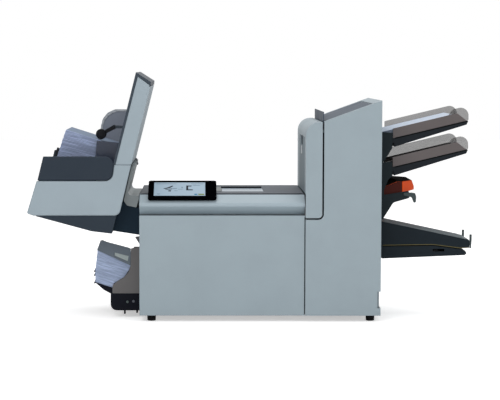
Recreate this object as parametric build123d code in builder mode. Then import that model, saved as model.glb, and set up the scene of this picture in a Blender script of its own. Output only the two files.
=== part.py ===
"""Desktop folder-inserter: folds sheets in a tower, inserts them and stacks the filled envelopes.

Units are millimetres.  +X runs to the right along the front, +Y to the back, +Z up.
The origin is on the table, under the middle of the machine's whole length and depth.
"""
import os
from math import atan, cos, degrees, hypot, pi, radians, sin, tan

from build123d import *

os.makedirs("parts", exist_ok=True)

# ------------------------------------------------------------------ driving dimensions
# casing
body_left = -342.0            # left end of the inserter base
inserter_length = 501.0       # inserter base, left end to the tower
tower_length = 228.0          # folding tower
body_depth = 420.0            # inserter base, front to back
tower_proud = 4.0             # the tower stands proud of the base, front and back
floor_gap = 19.0              # table to the lower edge of the covers
wall = 3.0                    # moulded covers
roof_wall = 4.0
sheet = 2.0                   # bent steel and aluminium sheet
seam = 0.6                    # joint between two fixed covers
running_gap = 1.5             # gap round a cover that opens
seat_gap = 0.3                # small clearance of a piece laid on another body
fit = 0.05                    # radial clearance of a pin in its bore

# heights above the table
deck_height = 385.0           # dark deck on the inserter
crest_drop = 29.0             # crest of the rounded nose below the deck
panel_drop = 63.0             # top of the front panel below the deck
door_top_height = 604.0       # top of the tower's rounded side door
tower_slope = 20.0            # the tower's roof rises to the right, degrees

# nose of the top cover
nose_setback = 46.0           # front edge of the deck behind the front panel
nose_undercut = 27.0          # finger groove under the nose
nose_radius = 8.0

# tower side door
door_width = 50.0
door_corner_radius = 40.0
door_foot_drop = 70.0         # lower edge of the door's front flange below the deck
door_foot_radius = 12.0
door_gap = 5.0                # dark reveal between the door and the tower
door_pin_radius = 2.0
door_pivot_inset = 11.0       # pivot inside the door's right edge
door_pivot_drop = 7.5         # pivot below the door's top

# roof lid
lid_border = 28.0             # fixed roof to the right of the lid
lid_thick = 3.0
lid_sink = 0.8
lid_pin_radius = 2.5
lid_knuckle = 4.5

# envelope hopper
hopper_length = 340.0         # hopper's left end to the inserter base
hopper_half_depth = 200.0
hopper_base_height = 321.0
hopper_split_height = 427.5   # light cover below, dark band above
hopper_band_height = 73.0
riser_rise = 47.5             # light riser at the back panel's foot, above the split
back_lean = 14.0              # back panel and bed, degrees
back_thickness = 52.5
back_top_height = 753.0
envelope_height = 162.0       # C5 envelopes, laid across
envelope_width = 229.0
envelope_pile = 100.0

# envelope stacker
stacker_half_depth = 122.0
stacker_length = 92.0
stacker_base_height = 74.0
stacker_floor_gap = 21.5

# sheet feeders
feeder_half_depth = 125.0
tray_slope = 13.4
tray_pitch = 88.0             # upper tray above the second one
tray_thickness = 13.0         # at the tip
tray_root_thickness = 26.0    # below the upper face at the side plates' edge
tray_root_height = 551.0      # upper face of the upper tray at the side plates' edge
feeder_length = 42.0          # the feeder's side plates stand out this far from the tower
tray_length = 232.0           # trays beyond the side plates
guide_height = 45.0
guide_corner_radius = 24.0
guide_rail_height = 30.0      # the front guides are this low beside the sheets
guide_ear_length = 62.0       # near its tip a front guide rises to the full height
guide_ear_rise = 14.0         # length of the slope up to it
guide_offset = 114.0          # inner face of each side guide from the middle
guide_thick = 3.0
tray_margin = 2.2             # the trays reach this far past the guides
sheet_width = 216.0           # letter sheets
sheet_pile = 24.0

# lower tray
lower_half_depth = 78.0
lower_tray_length = 287.0
lower_root_height = 295.5     # upper face of the lower tray at the tower

# folding rollers
gear_module = 1.25
gear_teeth = 28
roller_nip = 0.4              # gap between neighbouring rollers
frame_inset = 60.0            # middle plane of each side frame in from the base's side
journal_radius = 6.0

# ------------------------------------------------------------------ values worked out from them
split_x = body_left + inserter_length
tower_right = split_x + tower_length
hopper_left = body_left - hopper_length
stacker_left = body_left - stacker_length
feeder_reach = tower_right + feeder_length
tray_end = feeder_reach + tray_length
lower_tray_end = tower_right + lower_tray_length
crest_height = deck_height - crest_drop
panel_height = deck_height - panel_drop
door_foot_height = deck_height - door_foot_drop
hopper_rim_height = hopper_split_height + hopper_band_height
riser_top = hopper_split_height + riser_rise
base_front = -body_depth / 2
base_back = body_depth / 2
frame_spread = base_back - frame_inset
tower_front = base_front - tower_proud
tower_back = base_back + tower_proud
deck_front = base_front + nose_setback
door_left = split_x
door_right = door_left + door_width
tower_left = door_right + door_gap
door_pivot_x = door_right - door_pivot_inset
door_pivot_z = door_top_height - door_pivot_drop
slope_tan = tan(radians(tower_slope))
lean_tan = tan(radians(back_lean))
lean_cos = cos(radians(back_lean))
tray_tan = tan(radians(tray_slope))
gear_radius = gear_module * gear_teeth / 2
tray_half = guide_offset + guide_thick + tray_margin
roller_radius = gear_radius - roller_nip / 2


def roof_height(x):
    """Height of the tower's sloping roof at x."""
    return door_top_height + (x - door_right) * slope_tan


lid_right = tower_right - lid_border
lid_pivot_x = lid_right - 1.0
lid_pivot_z = roof_height(lid_right) - 5.0


def front_plane(y):
    """A plane facing the front, at depth y; its local axes are X and Z."""
    return Plane.XZ.offset(-y)


def end_plane(x):
    """A plane facing right, at x; its local axes are Y and Z."""
    return Plane.YZ.offset(x)


def outline(plane, corners, radii=0.0):
    """A closed outline through the corners, each rounded by its radius."""
    with BuildSketch(plane) as face:
        with BuildLine():
            if radii == 0.0:
                Polyline(*corners, close=True)
            else:
                FilletPolyline(*corners, radius=radii, close=True)
        make_face()
    return face.sketch


def slab(x_low, x_high, z_low, z_high):
    """Corners of an upright rectangle."""
    return [(x_low, z_low), (x_high, z_low), (x_high, z_high), (x_low, z_high)]


def save(piece, name):
    """Label a finished piece and write it."""
    piece.part.label = name
    export_step(piece.part, f"parts/{name}.step")


# ================================================================== base, frames and feet
pan_inset = wall + seat_gap   # the pan seats against the covers
pan_height = floor_gap + 3.0
pan_flange = 16.0
pan_left = body_left + pan_inset
pan_right = tower_right - pan_inset
pan_front = base_front + pan_inset
pan_depth = 2 * -pan_front

with BuildPart() as base_pan:
    with BuildSketch(Plane.XY.offset(pan_height)):
        with Locations(((pan_left + pan_right) / 2, 0)):
            Rectangle(pan_right - pan_left, pan_depth)
    extrude(amount=pan_flange)
    with BuildSketch(Plane.XY.offset(pan_height + sheet)):
        with Locations(((pan_left + pan_right) / 2, 0)):
            Rectangle(pan_right - pan_left - 2 * sheet, pan_depth - 2 * sheet)
    extrude(amount=pan_flange, mode=Mode.SUBTRACT)
save(base_pan, "base_pan")

foot_radius = 15.5
foot_inset_left = 35.5
foot_inset_right = 28.5
foot_inset_depth = 30.0
foot_left_x = body_left + foot_inset_left
foot_right_x = tower_right - foot_inset_right
foot_y = -base_front - foot_inset_depth

with BuildPart() as feet:
    for foot_x in (foot_left_x, foot_right_x):
        for side_y in (-foot_y, foot_y):
            with BuildSketch(Plane((foot_x, side_y, 0))):
                Circle(foot_radius * 0.82)
            extrude(amount=pan_height, taper=-3)
    fillet(feet.edges().group_by(Axis.Z)[0], 2.0)
save(feet, "feet")

# rollers: the first two lie side by side, the third hangs below the second
roller_1_x = split_x + 91.0
roller_1_z = 300.0
roller_spacing = 2 * gear_radius
roller_places = [
    (roller_1_x, roller_1_z),
    (roller_1_x + roller_spacing, roller_1_z),
    (roller_1_x + roller_spacing, roller_1_z - roller_spacing),
]
bearing_radius = 11.0
bearing_width = 7.0
frame_low = pan_height + sheet
frame_left = pan_left + sheet + seam
frame_right = pan_right - sheet - seam
frame_deck = deck_height - 24.0
frame_step = tower_left + 12.0
frame_corners = [
    (frame_left, frame_low),
    (frame_right, frame_low),
    (frame_right, roof_height(frame_right) - 26.0),
    (frame_step, roof_height(frame_step) - 26.0),
    (frame_step, frame_deck),
    (frame_left, frame_deck),
]

hinge_y = base_back - 9.0
hinge_z = deck_height - 11.0
hinge_radius = 4.0
lug_radius = 6.5
lug_length = 20.0
lug_places = (body_left + 70.0, split_x - 90.0)
ear_radius = 6.2
ear_corners = [
    (frame_spread, frame_deck - 26.0),
    (hinge_y, hinge_z - ear_radius),
    (hinge_y, hinge_z),
    (hinge_y - 3.0, hinge_z + 4.0),
    (frame_spread, frame_deck - 4.0),
]

with BuildPart() as side_frames:
    for frame_y in (-frame_spread, frame_spread):
        extrude(outline(front_plane(frame_y + sheet / 2), frame_corners), amount=sheet)
    for lug_x in lug_places:
        for ear_x in (lug_x - seam - 2 * sheet, lug_x + lug_length + seam):
            extrude(outline(end_plane(ear_x), ear_corners), amount=2 * sheet)
            with BuildSketch(end_plane(ear_x)):
                with Locations((hinge_y, hinge_z)):
                    Circle(ear_radius)
            extrude(amount=2 * sheet)
            with BuildSketch(end_plane(ear_x)):
                with Locations((hinge_y, hinge_z)):
                    Circle(hinge_radius + fit)
            extrude(amount=2 * sheet, mode=Mode.SUBTRACT)
    with BuildSketch(front_plane(frame_spread + sheet)):
        with Locations(*roller_places):
            Circle(bearing_radius)
    extrude(amount=2 * frame_spread + 2 * sheet, mode=Mode.SUBTRACT)
save(side_frames, "side_frames")

with BuildPart() as roller_bearings:
    for frame_y in (-frame_spread, frame_spread):
        with BuildSketch(front_plane(frame_y + bearing_width / 2)):
            with Locations(*roller_places):
                Circle(bearing_radius - seam / 4)
                Circle(journal_radius + fit, mode=Mode.SUBTRACT)
        extrude(amount=bearing_width)
save(roller_bearings, "roller_bearings")

# each folding roller carries its own gear behind the rear frame
roller_half_length = frame_spread - bearing_width / 2 - 4.0
journal_end = frame_spread + 22.0
gear_face = 10.0
gear_start = frame_spread + 9.0
tooth_tip = 0.85 * gear_module
tooth_root = 1.2 * gear_module
tooth_root_half = 0.33 * pi * gear_module
tooth_tip_half = 0.13 * pi * gear_module


def add_gear(plane, centre, turn, width):
    """A spur gear on the front-facing plane; turn is the angle of its first tooth."""
    gear_x, gear_z = centre
    root_radius = gear_radius - tooth_root
    tip_radius = gear_radius + tooth_tip
    with BuildSketch(plane) as gear:
        with Locations((gear_x, gear_z)):
            Circle(root_radius + seam / 2)
        with Locations((gear_x, gear_z)):
            with PolarLocations(0, gear_teeth, start_angle=turn):
                tooth = [
                    (root_radius - seam, -tooth_root_half),
                    (tip_radius, -tooth_tip_half),
                    (tip_radius, tooth_tip_half),
                    (root_radius - seam, tooth_root_half),
                ]
                Polygon(*tooth, align=None)
    return extrude(gear.sketch, amount=width)


gear_turns = [0.0, 180.0 / gear_teeth, 0.0]
for number, (place, turn) in enumerate(zip(roller_places, gear_turns), start=1):
    with BuildPart() as fold_roller:
        with BuildSketch(front_plane(roller_half_length)):
            with Locations(place):
                Circle(roller_radius)
        extrude(amount=2 * roller_half_length)
        with BuildSketch(front_plane(journal_end)):
            with Locations(place):
                Circle(journal_radius)
        extrude(amount=frame_spread + bearing_width + journal_end)
        add_gear(front_plane(gear_start + gear_face), place, turn, gear_face)
    save(fold_roller, f"fold_roller_{number}")

motor_radius = 26.0
motor_start = journal_end + 2.0
motor_length = base_back - wall - 2.0 - motor_start
motor_bracket = 4.0

with BuildPart() as drive_motor:
    with BuildSketch(front_plane(motor_start + motor_length)):
        with Locations(roller_places[0]):
            Circle(motor_radius)
    extrude(amount=motor_length)
    motor_foot = slab(roller_1_x - motor_radius, roller_1_x - motor_radius + 14.0,
                      roller_1_z - 60.0, roller_1_z)
    extrude(outline(front_plane(motor_start + motor_length), motor_foot), amount=motor_bracket)
    extrude(outline(front_plane(motor_start + motor_length), slab(
        motor_foot[0][0], motor_foot[1][0], motor_foot[0][1] - motor_bracket, motor_foot[0][1])),
        amount=motor_start + motor_length - frame_spread - sheet / 2)
save(drive_motor, "drive_motor")

# two buckle chutes above and beside the rollers
chute_open = 4.0
chute_half = roller_half_length - 6.0
chute_wall = 1.2
chute_lean = 25.0
upper_chute_length = 190.0
lower_chute_length = 150.0


def add_fold_plate(foot_x, foot_z, length, angle):
    """A flat folding pocket: two parallel plates joined by side rails."""
    pocket = Plane(origin=(foot_x, 0, foot_z), x_dir=(cos(radians(angle)), 0, sin(radians(angle))),
                   z_dir=(sin(radians(angle)), 0, -cos(radians(angle))))
    with BuildSketch(pocket) as outside:
        with Locations((length / 2, 0)):
            Rectangle(length, 2 * chute_half)
    body = extrude(outside.sketch, amount=chute_open + 2 * chute_wall)
    with BuildSketch(pocket.offset(chute_wall)) as inside:
        with Locations((length / 2 - 4.0, 0)):
            Rectangle(length, 2 * chute_half - 8.0)
    extrude(inside.sketch, amount=chute_open, mode=Mode.SUBTRACT)
    return body


with BuildPart() as fold_plates:
    add_fold_plate(roller_1_x + 22.0, roller_1_z + 26.0, upper_chute_length, 90.0 - chute_lean)
    add_fold_plate(roller_1_x - 24.0, roller_1_z - 46.0, lower_chute_length, -90.0 - chute_lean)
    for rail_y in (-frame_spread + sheet / 2, chute_half - 1.0):
        rail_depth = frame_spread - sheet / 2 - chute_half + 1.0
        with BuildSketch(front_plane(rail_y + rail_depth)):
            with Locations((roller_1_x + 22.0 + 70.0 * sin(radians(chute_lean)), roller_1_z + 96.0)):
                Circle(4.0)
            with Locations((roller_1_x - 24.0 - 70.0 * sin(radians(chute_lean)), roller_1_z - 116.0)):
                Circle(4.0)
        extrude(amount=rail_depth)
save(fold_plates, "fold_plates")


# ================================================================== fixed covers
arm_thick = 6.0
arm_reach = 12.0              # the door's pins reach this far in from its flanges
arm_half = 3.5
arm_drop = 24.0


def add_door_arm(y_inner, y_lip, lip_depth):
    """A hooked arm with the bore of the side door's pin, on a lip of the fixed cover."""
    hook = [
        (door_pivot_x - arm_half, door_pivot_z),
        (door_pivot_x - arm_half, door_pivot_z - arm_drop),
        (tower_left + wall, door_pivot_z - arm_drop),
        (tower_left + wall, door_pivot_z - arm_drop + 2 * arm_half),
        (door_pivot_x + arm_half, door_pivot_z - arm_drop + 2 * arm_half),
        (door_pivot_x + arm_half, door_pivot_z),
    ]
    lip = slab(tower_left, tower_left + wall, door_pivot_z - arm_drop - 10.0, door_pivot_z)
    extrude(outline(front_plane(y_lip + lip_depth), lip), amount=lip_depth)
    extrude(outline(front_plane(y_inner + arm_thick), hook), amount=arm_thick)
    with BuildSketch(front_plane(y_inner + arm_thick)) as eye:
        with Locations((door_pivot_x, door_pivot_z)):
            Circle(arm_half)
    extrude(eye.sketch, amount=arm_thick)
    with BuildSketch(front_plane(y_inner + arm_thick)) as bore:
        with Locations((door_pivot_x, door_pivot_z)):
            Circle(door_pin_radius + fit)
    extrude(bore.sketch, amount=arm_thick, mode=Mode.SUBTRACT)


panel_fold = 24.0             # return of the front panel's upper edge

with BuildPart() as inserter_front_cover:
    panel = slab(body_left, split_x - seam, floor_gap, panel_height)
    extrude(outline(front_plane(base_front + wall), panel), amount=wall)
    fold = slab(body_left + wall, split_x - seam, panel_height - wall, panel_height)
    extrude(outline(front_plane(base_front + panel_fold), fold), amount=panel_fold)
    fillet(inserter_front_cover.edges().filter_by(Axis.X).group_by(Axis.Y)[0].group_by(Axis.Z)[-1], 2.0)
save(inserter_front_cover, "inserter_front_cover")

# the end cover has one slot where envelopes come in and one where they leave
feed_slot_low = deck_height - 36.5
feed_slot_high = deck_height - 14.5
hood_top = hopper_base_height - 82.2
exit_slot_low = stacker_base_height + 44.0
exit_slot_high = hood_top - 32.8
slot_half_width = 121.0
end_cover_top = deck_height - 5.5
hinge_relief = 5.0            # cut at the upper rear corner, where the deck swings down

with BuildPart() as inserter_end_cover:
    end_face = [
        (base_front + wall, floor_gap),
        (base_back - wall, floor_gap),
        (base_back - wall, end_cover_top - hinge_relief),
        (hinge_y - 1.0, end_cover_top),
        (base_front + wall, end_cover_top),
    ]
    nose_clear = slab(base_front + wall, deck_front + running_gap, panel_height, end_cover_top)
    extrude(outline(end_plane(body_left), end_face), amount=wall)
    extrude(outline(end_plane(body_left), nose_clear), amount=wall, mode=Mode.SUBTRACT)
    for slot_low, slot_high in ((feed_slot_low, feed_slot_high), (exit_slot_low, exit_slot_high)):
        slot = slab(-slot_half_width, slot_half_width, slot_low, slot_high)
        extrude(outline(end_plane(body_left), slot), amount=wall, mode=Mode.SUBTRACT)
save(inserter_end_cover, "inserter_end_cover")

# louvres let the motor's heat out at the back
louvre_length = 90.0
louvre_height = 5.0
louvre_pitch = 12.0
louvre_rows = 6
louvre_low = 90.0
rear_deck_top = deck_height - 20.0

with BuildPart() as rear_cover:
    rear_face = [
        (body_left, floor_gap),
        (split_x - seam, floor_gap),
        (split_x - seam, rear_deck_top),
        (body_left, rear_deck_top),
    ]
    extrude(outline(front_plane(base_back), rear_face), amount=wall)
    tower_face = [
        (split_x, floor_gap),
        (tower_right, floor_gap),
        (tower_right, roof_height(tower_right)),
        (tower_left, roof_height(tower_left)),
        (tower_left, deck_height),
        (split_x, deck_height),
    ]
    extrude(outline(front_plane(tower_back), tower_face), amount=wall)
    join = slab(split_x, split_x + wall, floor_gap, rear_deck_top)
    extrude(outline(front_plane(tower_back - wall), join), amount=tower_proud)
    bridge_strip = slab(split_x - wall, split_x + wall, floor_gap, rear_deck_top)
    extrude(outline(front_plane(base_back), bridge_strip), amount=wall)
    add_door_arm(tower_back - wall - arm_reach, tower_back - wall - arm_reach, arm_reach)
    for louvre_x in (body_left + 90.0, split_x + 70.0):
        for row in range(louvre_rows):
            low = louvre_low + row * louvre_pitch
            opening = slab(louvre_x, louvre_x + louvre_length, low, low + louvre_height)
            extrude(outline(front_plane(tower_back), opening), amount=tower_proud + wall,
                    mode=Mode.SUBTRACT)
save(rear_cover, "rear_cover")

# tower front: the side door's flange lies in the step at its upper left
inlet_low = 42.0
inlet_high = 92.0
inlet_depth = 10.0            # recess at the right-hand corner

with BuildPart() as tower_front_cover:
    face_corners = [
        (split_x, floor_gap),
        (tower_right, floor_gap),
        (tower_right, inlet_low),
        (tower_right - inlet_depth, inlet_low),
        (tower_right - inlet_depth, inlet_high),
        (tower_right, inlet_high),
        (tower_right, roof_height(tower_right)),
        (tower_left, roof_height(tower_left)),
        (tower_left, door_foot_height - door_gap),
        (split_x, door_foot_height - door_gap),
    ]
    face_radii = [0, 0, 0, 0, 0, 0, 2.0, 2.0, door_foot_radius + door_gap, 0]
    extrude(outline(front_plane(tower_front + wall), face_corners, face_radii), amount=wall)
    for lip in (
        slab(split_x, split_x + wall, pan_height + pan_flange + 3.0, door_foot_height - door_gap),
        slab(split_x + wall, tower_left - door_foot_radius - door_gap,
             door_foot_height - door_gap - wall, door_foot_height - door_gap),
        slab(tower_left, tower_left + wall, door_foot_height + door_foot_radius,
             roof_height(tower_left) - roof_wall),
    ):
        extrude(outline(front_plane(tower_front + wall + 14.0), lip), amount=14.0)
    add_door_arm(tower_front + wall + arm_reach - arm_thick, tower_front + wall, arm_reach)
save(tower_front_cover, "tower_front_cover")

# the end cover carries the roof frame round the lid; the feeder's arms pass through it
lid_half = 188.0
lid_gap = 2.5
knuckle_length = 26.0
knuckle_places = (-lid_half + 60.0, lid_half - 60.0)
lid_ear = 5.0
ear_places = [
    place + side * (knuckle_length / 2 + seam + lid_ear / 2)
    for place in knuckle_places
    for side in (-1, 1)
]
feed_mouth_half = tray_half + 0.6
feed_mouths = [
    (tray_root_height - 29.0, tray_root_height + 33.0),
    (tray_root_height - tray_pitch - 29.0, tray_root_height - tray_pitch + 33.0),
    (tray_root_height - 177.0, tray_root_height - 139.0),
    (lower_root_height - 71.5, lower_root_height - 5.5),
]

with BuildPart() as tower_end_cover:
    end_skin = slab(tower_right - wall, tower_right, floor_gap, roof_height(tower_right) - roof_wall)
    extrude(outline(front_plane(tower_back - wall), end_skin), amount=2 * (tower_back - wall))
    roof = [
        (tower_left, roof_height(tower_left)),
        (tower_right, roof_height(tower_right)),
        (tower_right, roof_height(tower_right) - roof_wall),
        (tower_left, roof_height(tower_left) - roof_wall),
    ]
    extrude(outline(front_plane(tower_back - wall), roof), amount=2 * (tower_back - wall))
    lid_opening = slab(tower_left, lid_right + lid_gap + 1.0, door_top_height - 40.0,
                       roof_height(tower_right) + 10.0)
    extrude(outline(front_plane(lid_half + lid_gap), lid_opening), amount=2 * (lid_half + lid_gap),
            mode=Mode.SUBTRACT)
    for mouth_low, mouth_high in feed_mouths:
        mouth = slab(-feed_mouth_half, feed_mouth_half, mouth_low, mouth_high)
        extrude(outline(end_plane(tower_right - wall), mouth), amount=wall, mode=Mode.SUBTRACT)
    for ear_y in ear_places:
        lid_arm = slab(lid_pivot_x, lid_right + lid_gap + 7.0, lid_pivot_z - lid_knuckle, lid_pivot_z)
        lid_arm[2] = (lid_arm[2][0], roof_height(lid_arm[2][0]) - roof_wall / 2)
        extrude(outline(front_plane(ear_y + lid_ear / 2), lid_arm), amount=lid_ear)
        with BuildSketch(front_plane(ear_y + lid_ear / 2)):
            with Locations((lid_pivot_x, lid_pivot_z)):
                Circle(lid_knuckle)
        extrude(amount=lid_ear)
        with BuildSketch(front_plane(ear_y + lid_ear / 2)):
            with Locations((lid_pivot_x, lid_pivot_z)):
                Circle(lid_pin_radius + fit)
        extrude(amount=lid_ear, mode=Mode.SUBTRACT)
    inlet_hole = slab(tower_front, tower_front + 48.0, inlet_low, inlet_high)
    extrude(outline(end_plane(tower_right - wall), inlet_hole), amount=wall, mode=Mode.SUBTRACT)
save(tower_end_cover, "tower_end_cover")

# mains inlet with its switch, set back in the corner recess
inlet_face = tower_right - inlet_depth + 4.0
with BuildPart() as power_inlet:
    inlet_body = slab(tower_front + wall + seat_gap, tower_front + 47.5, inlet_low + 0.5, inlet_high - 0.5)
    extrude(outline(end_plane(inlet_face - 26.0), inlet_body), amount=26.0)
    socket = slab(tower_front + 10.0, tower_front + 34.0, inlet_low + 5.0, inlet_low + 24.0)
    extrude(outline(end_plane(inlet_face - 18.0), socket), amount=18.0, mode=Mode.SUBTRACT)
    with BuildSketch(end_plane(inlet_face - 18.0)):
        with Locations((tower_front + 22.0, inlet_low + 14.5)):
            with GridLocations(7.0, 1.0, 3, 1):
                Rectangle(2.0, 6.0)
    extrude(amount=14.0)
    rocker = slab(tower_front + 12.0, tower_front + 32.0, inlet_low + 30.0, inlet_low + 43.0)
    extrude(outline(end_plane(inlet_face), rocker), amount=2.0)
save(power_inlet, "power_inlet")

# ================================================================== top cover of the inserter
cover_right = split_x - running_gap
deck_wall = 4.0
nose_low = panel_height + running_gap

nose_corners = [
    (deck_front, deck_height),
    (base_front + 4.0, crest_height + 4.0),
    (base_front, crest_height - 4.0),
    (base_front + nose_undercut, nose_low),
    (deck_front, nose_low),
]
nose_radii = [3.0, nose_radius, nose_radius * 0.9, 2.0, 0.0]

with BuildPart() as top_cover_nose:
    with BuildSketch(end_plane(body_left)):
        with BuildLine():
            FilletPolyline(*nose_corners, radius=nose_radii, close=True)
        make_face()
    extrude(amount=cover_right - body_left)
    with BuildSketch(end_plane(body_left + wall)):
        add(outline(Plane.XY, nose_corners, nose_radii))
        offset(amount=-wall, mode=Mode.REPLACE)
    extrude(amount=cover_right - body_left - 2 * wall, mode=Mode.SUBTRACT)
save(top_cover_nose, "top_cover_nose")

# deck with a sunk window over the insertion area
window_left = -91.0
window_right = 38.5
window_front = -66.0
window_back = 84.0
window_ledge = 2.5
window_sink = 1.5
deck_seam = 0.8

with BuildPart() as deck_panel:
    with BuildSketch(Plane.XY.offset(deck_height - deck_wall)):
        with Locations(((body_left + cover_right) / 2, (deck_front + base_back) / 2)):
            Rectangle(cover_right - body_left, base_back - deck_front - deck_seam)
    extrude(amount=deck_wall)
    fillet(deck_panel.edges().filter_by(Axis.Z).group_by(Axis.Y)[-1], 10.0)
    fillet(deck_panel.edges().group_by(Axis.Z)[-1].group_by(Axis.Y)[-1], 1.5)
    window_x = (window_left + window_right) / 2
    window_y = (window_front + window_back) / 2
    with BuildSketch(Plane.XY.offset(deck_height - window_sink - wall)):
        with Locations((window_x, window_y)):
            Rectangle(window_right - window_left, window_back - window_front)
    extrude(amount=wall + window_sink, mode=Mode.SUBTRACT)
    with BuildSketch(Plane.XY.offset(deck_height - deck_wall)):
        with Locations((window_x, window_y)):
            Rectangle(window_right - window_left - 2 * window_ledge,
                      window_back - window_front - 2 * window_ledge)
    extrude(amount=deck_wall, mode=Mode.SUBTRACT)
    for lug_x in lug_places:
        with BuildSketch(end_plane(lug_x)):
            with Locations((hinge_y, hinge_z)):
                Circle(lug_radius)
        extrude(amount=lug_length)
        neck = slab(hinge_y - lug_radius, hinge_y + 2.0, hinge_z, deck_height - 1.0)
        extrude(outline(end_plane(lug_x), neck), amount=lug_length)
        with BuildSketch(end_plane(lug_x - lug_length / 2)):
            with Locations((hinge_y, hinge_z)):
                Circle(hinge_radius)
        extrude(amount=2 * lug_length)
save(deck_panel, "deck_panel")

with BuildPart() as deck_window:
    with BuildSketch(Plane.XY.offset(deck_height - window_sink - wall + 0.5)):
        with Locations((window_x, window_y)):
            Rectangle(window_right - window_left - seam, window_back - window_front - seam)
    extrude(amount=wall - 0.5)
save(deck_window, "deck_window")

# ================================================================== touch console on the top cover
console_left = body_left + 26.0
console_length = 207.0
console_depth = 108.0
console_thick = 9.0
console_tilt = 24.5
console_front = base_front + 4.0
console_foot = deck_height - 8.5
console_radius = 8.0
screen_side = 17.0            # bezel on the left of the screen
screen_wide = 156.0
screen_high = 84.0
screen_bezel = 12.0           # bezel below the screen
glass_thick = 1.0
pivot_radius = 3.0

console_plane = Plane(
    origin=(console_left, console_front, console_foot),
    x_dir=(1, 0, 0),
    z_dir=(0, -sin(radians(console_tilt)), cos(radians(console_tilt))),
)
pivot_along = console_depth - 20.0
pivot_drop = console_thick + 5.0
pivot_y = (console_front + pivot_along * cos(radians(console_tilt))
           + pivot_drop * sin(radians(console_tilt)))
pivot_z = (console_foot + pivot_along * sin(radians(console_tilt))
           - pivot_drop * cos(radians(console_tilt)))
pivot_left = console_left + console_length / 2 - 20.0
pivot_length = 40.0

with BuildPart() as console_housing:
    with BuildSketch(console_plane.offset(-console_thick)):
        with Locations((console_length / 2, console_depth / 2)):
            RectangleRounded(console_length, console_depth, console_radius)
    extrude(amount=console_thick)
    with BuildSketch(console_plane.offset(-glass_thick)):
        with Locations((screen_side + screen_wide / 2, screen_bezel + screen_high / 2)):
            Rectangle(screen_wide, screen_high)
    extrude(amount=glass_thick, mode=Mode.SUBTRACT)
    with BuildSketch(end_plane(pivot_left)):
        with Locations((pivot_y, pivot_z)):
            Circle(pivot_radius + 3.5)
    extrude(amount=pivot_length)
    with BuildSketch(console_plane.offset(-console_thick - 5.0)):
        with Locations((console_length / 2, pivot_along)):
            Rectangle(pivot_length, 8.0)
    extrude(amount=6.0)
    with BuildSketch(end_plane(pivot_left - 9.0)):
        with Locations((pivot_y, pivot_z)):
            Circle(pivot_radius)
    extrude(amount=pivot_length + 18.0)
save(console_housing, "console_housing")

with BuildPart() as console_screen:
    with BuildSketch(console_plane.offset(-glass_thick + 0.05)):
        with Locations((screen_side + screen_wide / 2, screen_bezel + screen_high / 2)):
            Rectangle(screen_wide - 0.2, screen_high - 0.2)
    extrude(amount=glass_thick - 0.1)
save(console_screen, "console_screen")

# two cheeks on the deck carry the console's pivot
cheek_wide = 8.0
pivot_boss = 4.4
with BuildPart() as console_stand:
    for cheek_x in (pivot_left - seam - cheek_wide, pivot_left + pivot_length + seam):
        cheek = [
            (pivot_y - 16.0, deck_height),
            (pivot_y + 16.0, deck_height),
            (pivot_y + pivot_boss, pivot_z),
            (pivot_y - pivot_boss, pivot_z),
        ]
        extrude(outline(end_plane(cheek_x), cheek), amount=cheek_wide)
        with BuildSketch(end_plane(cheek_x)):
            with Locations((pivot_y, pivot_z)):
                Circle(pivot_boss)
        extrude(amount=cheek_wide)
        with BuildSketch(end_plane(cheek_x)):
            with Locations((pivot_y, pivot_z)):
                Circle(pivot_radius + fit)
        extrude(amount=cheek_wide, mode=Mode.SUBTRACT)
    tie = slab(pivot_y - 16.0, pivot_y + 16.0, deck_height, deck_height + 3.0)
    extrude(outline(end_plane(pivot_left - seam - cheek_wide), tie),
            amount=pivot_length + 2 * seam + 2 * cheek_wide)
save(console_stand, "console_stand")

# ================================================================== side door of the tower
door_low = deck_height + running_gap
door_step = 1.4               # sunk seat of the dark inset
inset_front = -161.0
inset_back = 118.0
inset_top = door_top_height - door_corner_radius - 7.0
latch_front = -43.0
latch_back = 33.0
latch_low = inset_top - 57.0
latch_mid = inset_top - 31.0
latch_high = inset_top - 1.0
latch_travel = 8.0
latch_stem = 8.0
latch_proud = 1.3             # the latch stands proud of the door
latch_plate_front = -32.0
latch_plate_back = 6.0

door_corners = [
    (door_left, door_foot_height),
    (door_right, door_foot_height),
    (door_right, door_top_height),
    (door_left, door_top_height),
]
door_radii = [0.0, door_foot_radius, 1.5, door_corner_radius]
door_inside = [
    (door_left + wall, door_foot_height - 1.0),
    (door_right + 1.0, door_foot_height - 1.0),
    (door_right + 1.0, door_top_height - wall),
    (door_left + wall, door_top_height - wall),
]
door_inside_radii = [0.0, 0.0, 0.0, door_corner_radius - wall]

with BuildPart() as tower_side_door:
    extrude(outline(front_plane(tower_back), door_corners, door_radii), amount=2 * tower_back)
    extrude(outline(front_plane(tower_back - wall), door_inside, door_inside_radii),
            amount=2 * (tower_back - wall), mode=Mode.SUBTRACT)
    below = slab(door_left - 1.0, door_right + 1.0, door_foot_height - 1.0, door_low)
    extrude(outline(front_plane(tower_back), below), amount=2 * tower_back - wall, mode=Mode.SUBTRACT)
    seat = slab(inset_front, inset_back, door_low, inset_top)
    extrude(outline(end_plane(door_left), seat), amount=door_step, mode=Mode.SUBTRACT)
    finger_slot = slab(latch_front, latch_back, latch_mid, latch_high)
    extrude(outline(end_plane(door_left), finger_slot), amount=wall, mode=Mode.SUBTRACT)
    latch_track = slab(-latch_stem, 0.0, latch_low + 6.0, latch_low + 14.0 + latch_travel)
    extrude(outline(end_plane(door_left), latch_track), amount=wall, mode=Mode.SUBTRACT)
    for pin_back in (tower_back - wall, tower_front + wall + arm_reach):
        with BuildSketch(front_plane(pin_back)):
            with Locations((door_pivot_x, door_pivot_z)):
                Circle(door_pin_radius)
        extrude(amount=arm_reach)
save(tower_side_door, "tower_side_door")

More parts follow.
